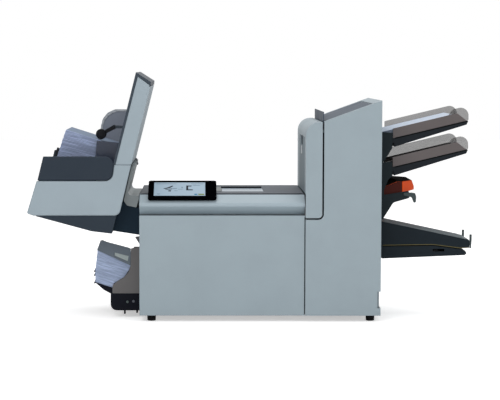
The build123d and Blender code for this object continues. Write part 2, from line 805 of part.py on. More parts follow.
with BuildPart() as side_door_inset:
    extrude(outline(end_plane(door_left + 0.2), slab(
        inset_front + 0.3, inset_back - 0.3, door_low + 0.3, inset_top - 0.3)), amount=door_step - 0.2)
    extrude(outline(end_plane(door_left), finger_slot), amount=wall, mode=Mode.SUBTRACT)
    extrude(outline(end_plane(door_left), latch_track), amount=wall, mode=Mode.SUBTRACT)
save(side_door_inset, "side_door_inset")

with BuildPart() as door_latch:
    plate = slab(latch_plate_front, latch_plate_back, latch_low, latch_mid - 2.0)
    extrude(outline(end_plane(door_left - latch_proud), plate), amount=latch_proud - 0.1)
    stem = slab(-latch_stem + 0.5, -0.5, latch_low + 6.5, latch_low + 13.5)
    extrude(outline(end_plane(door_left - 1.0), stem), amount=wall + 2.0)
    keeper = slab(-latch_stem - 6.0, 6.0, latch_low + 4.0, latch_low + 16.0)
    extrude(outline(end_plane(door_left + wall + 0.3), keeper), amount=2.0)
save(door_latch, "door_latch")

# ================================================================== roof lid with its upright grip
grip_height = 30.0
grip_thick = 2.2
grip_left = tower_left - 1.8


def lid_height(x):
    """Upper face of the lid at x."""
    return roof_height(x) - lid_sink


with BuildPart() as tower_top_lid:
    lid_section = [
        (grip_left, lid_height(grip_left)),
        (lid_right, lid_height(lid_right)),
        (lid_right, lid_height(lid_right) - lid_thick),
        (grip_left, lid_height(grip_left) - lid_thick),
    ]
    extrude(outline(front_plane(lid_half), lid_section), amount=2 * lid_half)
    grip = slab(grip_left, grip_left + grip_thick, lid_height(grip_left) - lid_thick,
                door_top_height + grip_height)
    extrude(outline(front_plane(lid_half), grip), amount=2 * lid_half)
    for ear_y in ear_places:
        notch = slab(lid_pivot_x - lid_knuckle - 1.5, lid_right + 1.0,
                     lid_pivot_z - lid_knuckle - 1.0, lid_pivot_z + 2 * lid_knuckle)
        extrude(outline(front_plane(ear_y + lid_ear / 2 + seam), notch),
                amount=lid_ear + 2 * seam, mode=Mode.SUBTRACT)
    for knuckle_y in knuckle_places:
        with BuildSketch(front_plane(knuckle_y + knuckle_length / 2)):
            with Locations((lid_pivot_x, lid_pivot_z)):
                Circle(lid_knuckle)
        extrude(amount=knuckle_length)
        pin_length = knuckle_length + 2 * (seam + lid_ear)
        with BuildSketch(front_plane(knuckle_y + pin_length / 2)):
            with Locations((lid_pivot_x, lid_pivot_z)):
                Circle(lid_pin_radius)
        extrude(amount=pin_length)
save(tower_top_lid, "tower_top_lid")

# ================================================================== envelope hopper
cover_left_low = hopper_left
cover_left_high = hopper_left + 30.0
band_right = body_left - 73.0
band_foot_right = body_left - 101.0
riser_right = body_left - 24.0
cover_right_low = body_left - 61.0
band_left_low = cover_left_high + 2.5
band_left_high = band_left_low + 18.0
hopper_inner = hopper_half_depth - wall
end_edge_radius = 4.0         # upright edges at the hopper's left end

cover_corners = [
    (cover_left_high, hopper_split_height - 1.5),
    (cover_left_low, hopper_base_height + 7.0),
    (cover_left_low + 20.0, hopper_base_height),
    (cover_right_low, hopper_base_height),
    (riser_right, riser_top),
    (band_right - 2.2, riser_top),
    (band_foot_right + 18.5, hopper_split_height - 1.5),
]
cover_radii = [1.0, 5.0, 8.0, 20.0, 1.0, 0.0, 24.0]
cover_inside = [
    (cover_left_high + wall, hopper_split_height + 80.0),
    (cover_left_low + 1.3 * wall, hopper_base_height + 7.0),
    (cover_left_low + 20.0, hopper_base_height - 10.0),
    (riser_right + 80.0, hopper_base_height - 10.0),
    (riser_right + 80.0, hopper_split_height + 80.0),
]

def round_left_end(piece):
    """Round the upright front and back edges of a piece's slanting left end."""
    end_faces = piece.faces().filter_by(lambda face: face.normal_at().X < -0.9)
    fillet(end_faces.edges().filter_by(Axis.Y, reverse=True), end_edge_radius)


with BuildPart() as hopper_cover:
    extrude(outline(front_plane(hopper_half_depth), cover_corners, cover_radii),
            amount=2 * hopper_half_depth)
    round_left_end(hopper_cover)
    extrude(outline(front_plane(hopper_inner), cover_inside), amount=2 * hopper_inner,
            mode=Mode.SUBTRACT)
save(hopper_cover, "hopper_cover")

inset_corners = [
    (band_left_high, hopper_rim_height),
    (band_left_low, hopper_split_height),
    (band_foot_right + 17.0, hopper_split_height),
    (band_right, hopper_rim_height),
]
inset_radii = [2.0, 1.0, 22.0, 26.0]
inset_inside = [
    (band_left_high + wall, hopper_rim_height + 20.0),
    (band_left_low + wall - 5.0, hopper_split_height - 20.0),
    (band_right + 40.0, hopper_split_height - 20.0),
    (band_right + 40.0, hopper_rim_height + 20.0),
]

with BuildPart() as hopper_band:
    extrude(outline(front_plane(hopper_half_depth - 0.4), inset_corners, inset_radii),
            amount=2 * hopper_half_depth - 0.8)
    round_left_end(hopper_band)
    extrude(outline(front_plane(hopper_inner), inset_inside), amount=2 * hopper_inner,
            mode=Mode.SUBTRACT)
save(hopper_band, "hopper_band")

belly_corners = [
    (cover_left_low + 24.0, hopper_base_height - 0.5),
    (body_left - 145.0, hopper_base_height - 47.0),
    (body_left - 83.0, hopper_base_height - 54.5),
    (body_left - 70.0, hopper_base_height - 0.5),
]
belly_inside = [
    (cover_left_low + 40.0, hopper_base_height),
    (body_left - 144.0, hopper_base_height - 47.0 + wall),
    (body_left - 86.0, hopper_base_height - 54.5 + wall),
    (body_left - 73.5, hopper_base_height),
]


def belly_floor(x):
    """Inner face of the belly's sloping floor at x."""
    (x_high, z_high), (x_low, z_low) = belly_inside[0], belly_inside[1]
    return z_high + (x - x_high) * (z_low - z_high) / (x_low - x_high)


with BuildPart() as hopper_belly:
    extrude(outline(front_plane(hopper_half_depth - 1.5), belly_corners, [0.5, 6.0, 3.0, 0.5]),
            amount=2 * hopper_half_depth - 3.0)
    extrude(outline(front_plane(hopper_inner - 1.5), belly_inside), amount=2 * hopper_inner - 3.0,
            mode=Mode.SUBTRACT)
save(hopper_belly, "hopper_belly")

# tall back panel: a dark plate against the envelopes, a light shell behind it
back_foot_x = body_left - 78.5
back_plate = 6.0
back_cap = 9.0
back_cap_drop = 28.7
back_cap_run = 45.0
back_bevel = 12.0


def back_left(z):
    """Left face of the leaning back plate at height z; back_foot_x is its place at riser_top."""
    return back_foot_x + (z - riser_top) * lean_tan


back_low = hopper_split_height + 1.0
back_right_shift = back_thickness / lean_cos
top_left = (back_left(back_top_height), back_top_height)
top_right = (top_left[0] + back_cap_run, back_top_height - back_cap_drop)
bevel_z = top_right[1] - back_bevel
cap_tan = back_cap_drop / back_cap_run
plate_shift = back_plate / lean_cos

press_x = body_left - 120.8
press_wide = 24.0
press_y = -84.0
arm_pivot_x = body_left - 80.0
arm_pivot_z = riser_top + 110.0
arm_pivot_radius = 3.0
arm_wide = 8.0
press_ear = 2.5
press_ear_outline = [
    (back_left(arm_pivot_z - 4.0) + 1.0, arm_pivot_z - 4.0),
    (back_left(arm_pivot_z + 4.0) + 1.0, arm_pivot_z + 4.0),
    (arm_pivot_x, arm_pivot_z + arm_pivot_radius + 1.5),
    (arm_pivot_x - 5.0, arm_pivot_z),
    (arm_pivot_x, arm_pivot_z - arm_pivot_radius - 1.5),
]

with BuildPart() as hopper_back_plate:
    plate_corners = [
        (back_left(back_low), back_low),
        top_left,
        top_right,
        (back_left(bevel_z) + back_right_shift, bevel_z),
        (back_left(bevel_z) + back_right_shift - 4.0, bevel_z - 1.0),
        (top_right[0] - 3.0, top_right[1] - back_cap),
        (top_left[0] + plate_shift - 1.0, back_top_height - back_cap - plate_shift * cap_tan),
        (back_left(back_low) + plate_shift, back_low),
    ]
    extrude(outline(front_plane(hopper_half_depth), plate_corners), amount=2 * hopper_half_depth)
    for side_back in (-hopper_inner + 0.5, hopper_half_depth):
        trim = slab(back_left(back_low) - 1.0, riser_right, back_low - 1.0, riser_top + 1.0)
        extrude(outline(front_plane(side_back), trim), amount=wall + 0.5, mode=Mode.SUBTRACT)
    for ear_back in (press_y - arm_wide / 2 - seam, press_y + arm_wide / 2 + seam + press_ear):
        extrude(outline(front_plane(ear_back), press_ear_outline), amount=press_ear)
        with BuildSketch(front_plane(ear_back)):
            with Locations((arm_pivot_x, arm_pivot_z)):
                Circle(arm_pivot_radius + fit)
        extrude(amount=press_ear, mode=Mode.SUBTRACT)
save(hopper_back_plate, "hopper_back_plate")

shell_top_left = (plate_corners[6][0] + 0.4, plate_corners[6][1] - 0.4)
shell_top_right = (plate_corners[5][0] - 1.0, plate_corners[5][1] - 0.9)
shell_bevel = (back_left(bevel_z - 2.0) + back_right_shift, bevel_z - 2.0)
shell_low = riser_top + 0.5

with BuildPart() as hopper_back_shell:
    shell_corners = [
        (back_left(shell_low) + plate_shift + 0.4, shell_low),
        shell_top_left,
        shell_top_right,
        (shell_bevel[0] - 4.0, shell_bevel[1]),
        shell_bevel,
        (back_left(shell_low) + back_right_shift, shell_low),
    ]
    extrude(outline(front_plane(hopper_half_depth - 0.6), shell_corners),
            amount=2 * hopper_half_depth - 1.2)
    shell_inside = [
        (shell_corners[0][0] + wall, shell_low - 1.0),
        (shell_top_left[0] + wall, shell_top_left[1] - 2 * wall),
        (shell_bevel[0] - wall - 1.0, shell_bevel[1] - 3 * wall),
        (shell_corners[5][0] - wall, shell_low - 1.0),
    ]
    extrude(outline(front_plane(hopper_inner), shell_inside), amount=2 * hopper_inner,
            mode=Mode.SUBTRACT)
save(hopper_back_shell, "hopper_back_shell")

# sloping bed: the envelopes slide down it against the back plate
bed_thick = 6.0
bed_left = hopper_left + 54.0
bed_half = hopper_inner - 1.0
bed_right = back_left(hopper_split_height - 3.0) - 0.4
bed_high = hopper_split_height + (bed_right - bed_left) * lean_tan - 3.0


def bed_height(x):
    """Upper face of the hopper's bed at x."""
    return bed_high - (x - bed_left) * lean_tan


slot_half = 5.0
guide_slot_x = body_left - 128.0
guide_slot_inner = 92.0
guide_slot_outer = 176.0
stop_slot_left = hopper_left + 60.0
stop_slot_right = hopper_left + 122.0

with BuildPart() as hopper_bed:
    bed_corners = [
        (bed_left, bed_height(bed_left)),
        (bed_right, bed_height(bed_right)),
        (bed_right, bed_height(bed_right) - bed_thick),
        (bed_left, bed_height(bed_left) - bed_thick),
    ]
    extrude(outline(front_plane(bed_half), bed_corners), amount=2 * bed_half)
    for side in (-1, 1):
        with BuildSketch(Plane.XY.offset(hopper_base_height)):
            with Locations((guide_slot_x, side * (guide_slot_inner + guide_slot_outer) / 2)):
                Rectangle(2 * slot_half, guide_slot_outer - guide_slot_inner)
        extrude(amount=hopper_rim_height, mode=Mode.SUBTRACT)
    with BuildSketch(Plane.XY.offset(hopper_base_height)):
        with Locations(((stop_slot_left + stop_slot_right) / 2, 0)):
            Rectangle(stop_slot_right - stop_slot_left, 2 * slot_half)
    extrude(amount=hopper_rim_height, mode=Mode.SUBTRACT)
    for strut_x in (hopper_left + 82.0, hopper_left + 182.0):
        strut = [
            (strut_x - 4.0, belly_floor(strut_x - 4.0)),
            (strut_x + 4.0, belly_floor(strut_x + 4.0)),
            (strut_x + 4.0, bed_height(strut_x + 4.0) - 1.0),
            (strut_x - 4.0, bed_height(strut_x - 4.0) - 1.0),
        ]
        for strut_y in (-bed_half + 10.0, bed_half - 2.0):
            extrude(outline(front_plane(strut_y), strut), amount=8.0)
save(hopper_bed, "hopper_bed")

# pile of envelopes, a little fanned towards the back panel
pile_foot_x = hopper_left + 78.0
pile_foot = (pile_foot_x, bed_height(pile_foot_x) + seat_gap)
pile_toe_x = pile_foot_x + envelope_height * lean_cos
pile_toe = (pile_toe_x, bed_height(pile_toe_x) + seat_gap)
pile_rear_x = back_foot_x + 12.0
pile_lead_x = pile_rear_x - envelope_height * lean_cos - 1.0
pile_top_left = (pile_lead_x, bed_height(pile_lead_x) + seat_gap + envelope_pile + 20.0)
pile_top_right = (pile_rear_x, bed_height(pile_rear_x) + seat_gap + envelope_pile + 11.0)

with BuildPart() as envelope_pile_stack:
    pile_corners = [pile_foot, pile_toe, pile_top_right, pile_top_left]
    extrude(outline(front_plane(envelope_width / 2), pile_corners), amount=envelope_width)
save(envelope_pile_stack, "envelope_stack")

# bridge to the inserter, with the beige chute plate in front of it
bridge_half = 150.0
bridge_right = body_left - seam
bridge_low = hopper_base_height - 63.0
bridge_top = deck_height - 43.5
bridge_left = body_left - 69.0

with BuildPart() as hopper_bridge:
    bridge_corners = [
        (bridge_left - 12.4, hopper_base_height - 50.4),
        (bridge_right, bridge_low),
        (bridge_right, bridge_top),
        (body_left - 10.4, bridge_top),
        (body_left - 40.0, bridge_top + 6.5),
        (body_left - 51.5, bridge_top + 19.5),
        (body_left - 28.5, riser_top - 13.0),
        (body_left - 34.0, riser_top - 3.0),
        (bridge_left + 7.0, riser_top - 75.0),
        (bridge_left, hopper_base_height + 9.0),
        (bridge_left, hopper_base_height - 0.5),
    ]
    extrude(outline(front_plane(bridge_half), bridge_corners), amount=2 * bridge_half)
    duct = [
        (bridge_left, hopper_base_height - 39.0),
        (bridge_right + 1.0, hopper_base_height - 49.0),
        (bridge_right + 1.0, bridge_top - 11.5),
        (bridge_left + 8.0, bridge_top - 11.5),
    ]
    extrude(outline(front_plane(bridge_half - 6.0), duct), amount=2 * bridge_half - 12.0,
            mode=Mode.SUBTRACT)
save(hopper_bridge, "hopper_bridge")

chute_bend = 12.0
flange_top = deck_height - 6.5
knob_x = body_left - 13.0
knob_z = riser_top + 6.0
knob_radius = 4.5
knob_half = 9.0
knob_y = -bridge_half + 16.0
knob_pin_radius = 2.0
knob_ear = 3.0
ear_outline = [
    (knob_x - 14.5, knob_z - 21.0),
    (knob_x + 3.5, knob_z - 5.0),
    (knob_x + 4.5, knob_z + 1.0),
    (knob_x - 1.5, knob_z + 4.5),
    (knob_x - 4.5, knob_z - 1.0),
    (knob_x - 11.5, knob_z - 8.0),
]
with BuildPart() as chute_plate:
    chute_corners = [
        (body_left - 49.4, bridge_top + 21.0),
        (body_left - 26.2, riser_top - 12.0),
        (body_left - 18.0, riser_top),
        (body_left - 15.5, riser_top - 4.0),
        (body_left - 39.2, flange_top),
        (bridge_right - 2.0, flange_top),
        (bridge_right - 2.0, flange_top - 8.0),
        (body_left - 10.4, bridge_top + seat_gap),
        (body_left - 39.0, bridge_top + 6.3 + seat_gap),
    ]
    chute_radii = [3.0, 0.0, 1.5, 0.0, chute_bend, 4.0, 0.0, 4.0, 6.0]
    extrude(outline(front_plane(bridge_half + 1.0), chute_corners, chute_radii),
            amount=2 * bridge_half + 2.0)
    throat = [
        (body_left - 32.0, feed_slot_low),
        (bridge_right + 1.0, feed_slot_low),
        (bridge_right + 1.0, feed_slot_high),
        (body_left - 32.0, feed_slot_high),
    ]
    extrude(outline(front_plane(slot_half_width), throat), amount=2 * slot_half_width,
            mode=Mode.SUBTRACT)
    for ear_back in (knob_y - knob_half - seam, knob_y + knob_half + seam + knob_ear):
        extrude(outline(front_plane(ear_back), ear_outline), amount=knob_ear)
        with BuildSketch(front_plane(ear_back)):
            with Locations((knob_x, knob_z)):
                Circle(knob_pin_radius + fit)
        extrude(amount=knob_ear, mode=Mode.SUBTRACT)
save(chute_plate, "chute_plate")

# thumb knob that locks the chute, on its own pin through the chute's upper end
with BuildPart() as chute_knob:
    with BuildSketch(front_plane(knob_y + knob_half)):
        with Locations((knob_x, knob_z)):
            Circle(knob_radius)
    extrude(amount=2 * knob_half)
    pin_half = knob_half + seam + knob_ear
    with BuildSketch(front_plane(knob_y + pin_half)):
        with Locations((knob_x, knob_z)):
            Circle(knob_pin_radius)
    extrude(amount=2 * pin_half)
    tab = [
        (knob_x - 3.0, knob_z - 1.0),
        (knob_x + 6.0, knob_z - 10.5),
        (knob_x + 8.5, knob_z - 7.5),
        (knob_x + 3.0, knob_z + 11.5),
        (knob_x - 1.5, knob_z + 11.5),
    ]
    extrude(outline(front_plane(knob_y + knob_half / 2), tab, 1.5), amount=knob_half)
save(chute_knob, "chute_knob")

# side guides of the hopper: smoked in front, tall and rounded at the back
guide_clear = 3.0
guide_face = envelope_width / 2 + guide_clear
tongue_half = slot_half - 0.6


def add_guide_tongue(inner_y, outer_y):
    """The tongue that runs in the bed's cross slot, with a foot under the bed."""
    low, high = min(inner_y, outer_y), max(inner_y, outer_y)
    tongue = [
        (guide_slot_x - tongue_half, bed_height(guide_slot_x - tongue_half) - bed_thick - 4.0),
        (guide_slot_x + tongue_half, bed_height(guide_slot_x + tongue_half) - bed_thick - 4.0),
        (guide_slot_x + tongue_half, bed_height(guide_slot_x + tongue_half) + 3.0),
        (guide_slot_x - tongue_half, bed_height(guide_slot_x - tongue_half) + 3.0),
    ]
    extrude(outline(front_plane(high), tongue), amount=high - low)


front_guide_left = guide_slot_x - 15.0
front_guide_top = riser_top + 63.0
guide_heel = (back_left(bed_height(bed_right)) - 1.0, bed_height(bed_right) + 2 * seat_gap)
front_guide_corners = [
    (front_guide_left, bed_height(front_guide_left) + seat_gap),
    guide_heel,
    (back_left(front_guide_top) - 1.0, front_guide_top),
    (front_guide_left + 11.0, front_guide_top + 6.6),
]
with BuildPart() as hopper_front_guide:
    extrude(outline(front_plane(-guide_face), front_guide_corners, [1.0, 4.0, 4.0, 3.0]),
            amount=guide_thick)
    add_guide_tongue(-guide_face - guide_thick, -guide_face)
save(hopper_front_guide, "hopper_front_guide")

rear_guide_left = guide_slot_x - 8.0
rear_guide_top = riser_top + 159.0
rear_guide_corners = [
    (rear_guide_left, bed_height(rear_guide_left) + seat_gap),
    guide_heel,
    (back_left(rear_guide_top) - 1.5, rear_guide_top),
    (rear_guide_left + 48.0, rear_guide_top),
    (rear_guide_left + 24.0, rear_guide_top - 11.0),
    (rear_guide_left + 8.0, rear_guide_top - 31.0),
    (rear_guide_left + 1.5, rear_guide_top - 62.0),
]
with BuildPart() as hopper_rear_guide:
    extrude(outline(front_plane(guide_face + guide_thick), rear_guide_corners,
                    [1.0, 4.0, 3.0, 25.0, 25.0, 25.0, 30.0]), amount=guide_thick)
    add_guide_tongue(guide_face, guide_face + guide_thick)
save(hopper_rear_guide, "hopper_rear_guide")

stop_x = hopper_left + 76.0
with BuildPart() as envelope_end_stop:
    stop_base = bed_height(stop_x) + seat_gap
    stop_corners = [
        (stop_x - 10.0, bed_height(stop_x - 10.0) + seat_gap),
        (stop_x - 2.0, bed_height(stop_x - 2.0) + seat_gap),
        (stop_x + 9.0, stop_base + 46.0),
        (stop_x + 1.0, stop_base + 50.0),
    ]
    extrude(outline(front_plane(16.0), stop_corners), amount=32.0)
    stop_tongue = [
        (stop_x - 9.0, bed_height(stop_x - 9.0) - bed_thick - 4.0),
        (stop_x - 3.0, bed_height(stop_x - 3.0) - bed_thick - 4.0),
        (stop_x - 3.0, bed_height(stop_x - 3.0) + 2.0),
        (stop_x - 9.0, bed_height(stop_x - 9.0) + 2.0),
    ]
    extrude(outline(front_plane(tongue_half), stop_tongue), amount=2 * tongue_half)
save(envelope_end_stop, "envelope_end_stop")

# press lever: a round weight that rests on the pile, on an arm pivoted at the back plate
press_radius = 16.0
pile_slope = atan((pile_top_right[1] - pile_top_left[1]) / (pile_top_right[0] - pile_top_left[0]))
pile_top_height = pile_top_left[1] + (press_x - pile_top_left[0]) * tan(pile_slope)
press_z = pile_top_height + (press_radius + seat_gap) / cos(pile_slope)
arm_width_end = 5.0
arm_width_root = 6.5
arm_angle = Vector(arm_pivot_x - press_x, arm_pivot_z - press_z)
arm_normal = Vector(-arm_angle.Y, arm_angle.X).normalized()

with BuildPart() as press_lever:
    with BuildSketch(front_plane(press_y + press_wide / 2)):
        with Locations((press_x, press_z)):
            Circle(press_radius)
    extrude(amount=press_wide)
    fillet(press_lever.edges().filter_by(GeomType.CIRCLE), 3.0)
    arm_corners = [
        (press_x + arm_normal.X * arm_width_end, press_z + arm_normal.Y * arm_width_end),
        (press_x - arm_normal.X * arm_width_end, press_z - arm_normal.Y * arm_width_end),
        (arm_pivot_x - arm_normal.X * arm_width_root, arm_pivot_z - arm_normal.Y * arm_width_root),
        (arm_pivot_x + arm_normal.X * arm_width_root, arm_pivot_z + arm_normal.Y * arm_width_root),
    ]
    extrude(outline(front_plane(press_y + arm_wide / 2), arm_corners), amount=arm_wide)
    with BuildSketch(front_plane(press_y + arm_wide / 2)):
        with Locations((arm_pivot_x, arm_pivot_z)):
            Circle(arm_width_root)
    extrude(amount=arm_wide)
    with BuildSketch(front_plane(press_y + arm_wide / 2 + 7.0)):
        with Locations((arm_pivot_x, arm_pivot_z)):
            Circle(arm_pivot_radius)
    extrude(amount=arm_wide + 14.0)
save(press_lever, "press_lever")

# ================================================================== envelope stacker
stacker_wall = 3.0
stacker_right = body_left - seam
stacker_inner = stacker_half_depth - stacker_wall
rear_plate_drop = 46.0        # the rear side plate ends this far below the hood's top
hood_lip_x = body_left - 30.7           # right end of the hood's lower edge
hood_lip_z = hood_top - 78.2
hood_brow_x = body_left - 132.8         # left end of the hood's lower edge
hood_brow_z = hood_top - 29.3
hood_corners = [
    (hood_brow_x + 10.9, hood_top),
    (body_left - 38.0, hood_top - 22.3),
    (hood_lip_x + 1.2, hood_top - 25.8),
    (hood_lip_x, hood_lip_z),
    (hood_brow_x, hood_brow_z),
]
hood_roof = [
    (hood_brow_x + 1.0, hood_brow_z + 4.0),
    (hood_lip_x, hood_lip_z + 4.0),
    (hood_lip_x, hood_lip_z + 1.0),
    (hood_brow_x, hood_brow_z + 1.0),
]
hood_rear = [
    (hood_brow_x + 1.0, hood_brow_z + 5.0),
    (hood_lip_x, hood_lip_z + 14.0),
    (hood_lip_x, hood_lip_z),
    (hood_brow_x, hood_brow_z),
]
view_window = [
    (body_left - 78.8, hood_top - 37.7),
    (body_left - 35.5, hood_top - 48.8),
    (body_left - 38.9, hood_top - 66.4),
    (body_left - 80.3, hood_top - 47.9),
]

with BuildPart() as stacker_hood:
    extrude(outline(front_plane(-stacker_inner), hood_corners), amount=stacker_wall)
    extrude(outline(front_plane(stacker_half_depth), hood_roof), amount=2 * stacker_half_depth - 1.0)
    extrude(outline(front_plane(stacker_half_depth), hood_rear), amount=stacker_wall)
    extrude(outline(front_plane(-stacker_inner), view_window), amount=stacker_wall,
            mode=Mode.SUBTRACT)
save(stacker_hood, "stacker_hood")

side_plate_corners = [
    (hood_lip_x + 1.7, hood_top - 25.3),
    (stacker_right, hood_top - 19.8),
    (stacker_right, stacker_base_height + 0.5),
    (body_left - 86.5, stacker_base_height + 0.5),
    (body_left - 85.9, stacker_base_height + 25.9),
    (body_left - 70.8, stacker_base_height + 38.0),
    (body_left - 50.8, stacker_base_height + 49.8),
    (body_left - 37.2, stacker_base_height + 64.9),
    (hood_lip_x + 0.5, hood_lip_z - 0.6),
]
side_plate_radii = [2.0, 2.0, 0.0, 2.0, 5.0, 0.0, 14.0, 10.0, 0.0]

with BuildPart() as stacker_side_plates:
    for plate_back in (-stacker_inner, stacker_half_depth):
        extrude(outline(front_plane(plate_back), side_plate_corners, side_plate_radii),
                amount=stacker_wall)
    rear_cut = slab(hood_lip_x - 1.0, stacker_right, hood_top - rear_plate_drop, hood_top)
    extrude(outline(front_plane(stacker_half_depth), rear_cut), amount=stacker_wall,
            mode=Mode.SUBTRACT)
save(stacker_side_plates, "stacker_side_plates")

button_radius = 4.0
button_places = [(body_left - 40.3, stacker_base_height - 25.9),
                 (body_left - 21.8, stacker_base_height - 24.0)]
button_travel = 2.0
rod_x = stacker_left - 50.5   # three rods stop the envelopes at the left
rod_radius = 2.6
rod_length = 208.0
shelf_rise = 35.0             # left end of the shelf under the envelopes, above the base
shelf = [
    (stacker_left + 3.0, stacker_base_height - 2.0),
    (stacker_left - 21.0, stacker_base_height + 10.8),
    (stacker_left - 47.0, stacker_base_height + shelf_rise - 1.5),
    (stacker_left - 46.0, stacker_base_height + shelf_rise - 2.2),
    (stacker_left + 6.0, stacker_base_height + 15.0),
    (stacker_left + 6.0, stacker_base_height - 2.0),
]
base_corners = [
    (stacker_left, stacker_base_height),
    (stacker_left, stacker_floor_gap),
    (stacker_right, stacker_floor_gap),
    (stacker_right, stacker_base_height),
]
with BuildPart() as stacker_base:
    extrude(outline(front_plane(stacker_half_depth), base_corners, [3.0, 20.0, 2.0, 0.0]),
            amount=2 * stacker_half_depth)
    base_inside = slab(stacker_left + 20.0, stacker_right - 4.0, stacker_floor_gap + 8.0,
                       stacker_base_height - 6.0)
    extrude(outline(front_plane(stacker_inner), base_inside), amount=2 * stacker_inner,
            mode=Mode.SUBTRACT)
    with BuildSketch(front_plane(-stacker_half_depth + stacker_wall)):
        with Locations(*button_places):
            Circle(button_radius + 0.3)
    extrude(amount=stacker_wall, mode=Mode.SUBTRACT)
    for tab_x, tab_low in ((body_left - 49.0, 10.0), (body_left - 11.1, 13.0)):
        tab = slab(tab_x - 2.5, tab_x + 2.5, tab_low, stacker_floor_gap + 1.0)
        extrude(outline(front_plane(-stacker_half_depth + 24.0), tab), amount=18.0)
    link = [
        (stacker_left + 1.0, stacker_base_height - 4.0),
        (stacker_left + 1.0, stacker_base_height - 16.0),
        (rod_x - 1.8, stacker_base_height + 20.0),
        (rod_x - 1.8, stacker_base_height + 68.0),
        (rod_x + 1.7, stacker_base_height + 68.0),
        (rod_x + 1.7, stacker_base_height + 26.0),
    ]
    extrude(outline(front_plane(stacker_half_depth - 4.0), link), amount=3.0)
    with BuildSketch(front_plane(stacker_half_depth - 4.0)):
        with Locations(*[(rod_x, stacker_base_height + rise) for rise in (29.2, 52.9, 64.7)]):
            Circle(rod_radius)
    extrude(amount=rod_length)
    extrude(outline(front_plane(stacker_inner), shelf), amount=2 * stacker_inner)
save(stacker_base, "stacker_base")

for button_name, button_place in zip(("start_button", "stop_button"), button_places):
    with BuildPart() as stacker_button:
        with BuildSketch(front_plane(-stacker_half_depth + stacker_wall + 1.0)):
            with Locations(button_place):
                Circle(button_radius)
        extrude(amount=stacker_wall + 1.0 + button_travel + 0.5)
        fillet(stacker_button.edges().group_by(Axis.Y)[0], 1.0)
        with BuildSketch(front_plane(-stacker_half_depth + stacker_wall + seat_gap + 1.5)):
            with Locations(button_place):
                Circle(button_radius + 2.0)
        extrude(amount=1.5)
    save(stacker_button, button_name)

stack_half = envelope_width / 2
stack_corners = [
    (hood_brow_x + 0.2, hood_brow_z - 1.2),
    (hood_lip_x + 0.6, hood_lip_z - 1.0),
    (hood_lip_x - 5.8, stacker_base_height + 70.0),
    (hood_lip_x - 20.0, stacker_base_height + 50.0),
    (stacker_left + 8.8, stacker_base_height + 29.7),
    (stacker_left + 6.0, stacker_base_height + 15.6),
    (stacker_left - 47.6, stacker_base_height + shelf_rise - 1.1),
    (stacker_left - 46.8, stacker_base_height + shelf_rise + 49.0),
]
with BuildPart() as stacked_envelopes:
    extrude(outline(front_plane(stack_half), stack_corners), amount=envelope_width)
save(stacked_envelopes, "stacked_envelopes")

# ================================================================== sheet feeders on the right
plate_thick = 4.0
feeder_root = tower_right + seam
side_corners = [
    (feeder_root, tray_root_height + 21.0),
    (feeder_reach - 0.5, tray_root_height + 17.0),
    (feeder_reach, tray_root_height - 28.0),
    (feeder_reach - 22.5, tray_root_height - 64.4),
    (feeder_reach - 27.0, tray_root_height - 73.0),
    (feeder_reach - 1.0, tray_root_height - 71.0),
    (feeder_reach + 0.5, tray_root_height - 113.7),
    (feeder_reach - 12.5, tray_root_height - 126.5),
    (feeder_reach - 25.1, tray_root_height - 157.5),
    (feeder_reach - 25.1, tray_root_height - 172.5),
    (feeder_reach + 51.0, tray_root_height - 160.0),
    (feeder_reach + 53.0, tray_root_height - 181.9),
    (feeder_reach + 3.7, tray_root_height - 196.1),
    (feeder_reach - 26.2, tray_root_height - 244.3),
    (feeder_root, tray_root_height - 256.0),
]
side_radii = [0.0, 2.0, 6.0, 14.0, 0.0, 2.0, 4.0, 8.0, 8.0, 0.0, 3.0, 3.0, 14.0, 20.0, 0.0]

platform_pivot_x = feeder_reach - 31.5
platform_pivot_z = tray_root_height - 164.0
platform_pin_radius = 3.0
pin_reach = feeder_half_depth - 0.5
claw_pivot_x = feeder_reach + 41.0
claw_pivot_z = tray_root_height - 171.0
claw_pin_radius = 2.5

with BuildPart() as feeder_side_plates:
    for plate_back in (-feeder_half_depth + plate_thick, feeder_half_depth):
        extrude(outline(front_plane(plate_back), side_corners, side_radii), amount=plate_thick)
        with BuildSketch(front_plane(plate_back)):
            with Locations((platform_pivot_x, platform_pivot_z)):
                Circle(platform_pin_radius + fit)
            with Locations((claw_pivot_x, claw_pivot_z)):
                Circle(claw_pin_radius + fit)
        extrude(amount=plate_thick, mode=Mode.SUBTRACT)
save(feeder_side_plates, "feeder_side_plates")


def tray_height(x, drop):
    """Upper face of a tray at x; drop is its distance below the upper tray."""
    return tray_root_height - drop + (x - feeder_reach) * tray_tan


feeder_inner = feeder_half_depth - plate_thick
tray_left = tower_right - wall + 1.0
tray_tip_cut = 6.0
tray_step_x = feeder_reach + 5.0   # the trays are deeper outside the side plates
feed_roller_radius = 9.0
feed_roller_x = feeder_reach - 22.0
feed_roller_length = 70.0
track_left = feeder_reach + 60.0
track_half = 4.0
track_inner = 40.0
track_outer = guide_offset + guide_thick + 0.6
axle_radius = 2.5
roller_sink = feed_roller_radius - 1.0
shaft_half = feed_roller_length / 2 + 7.0

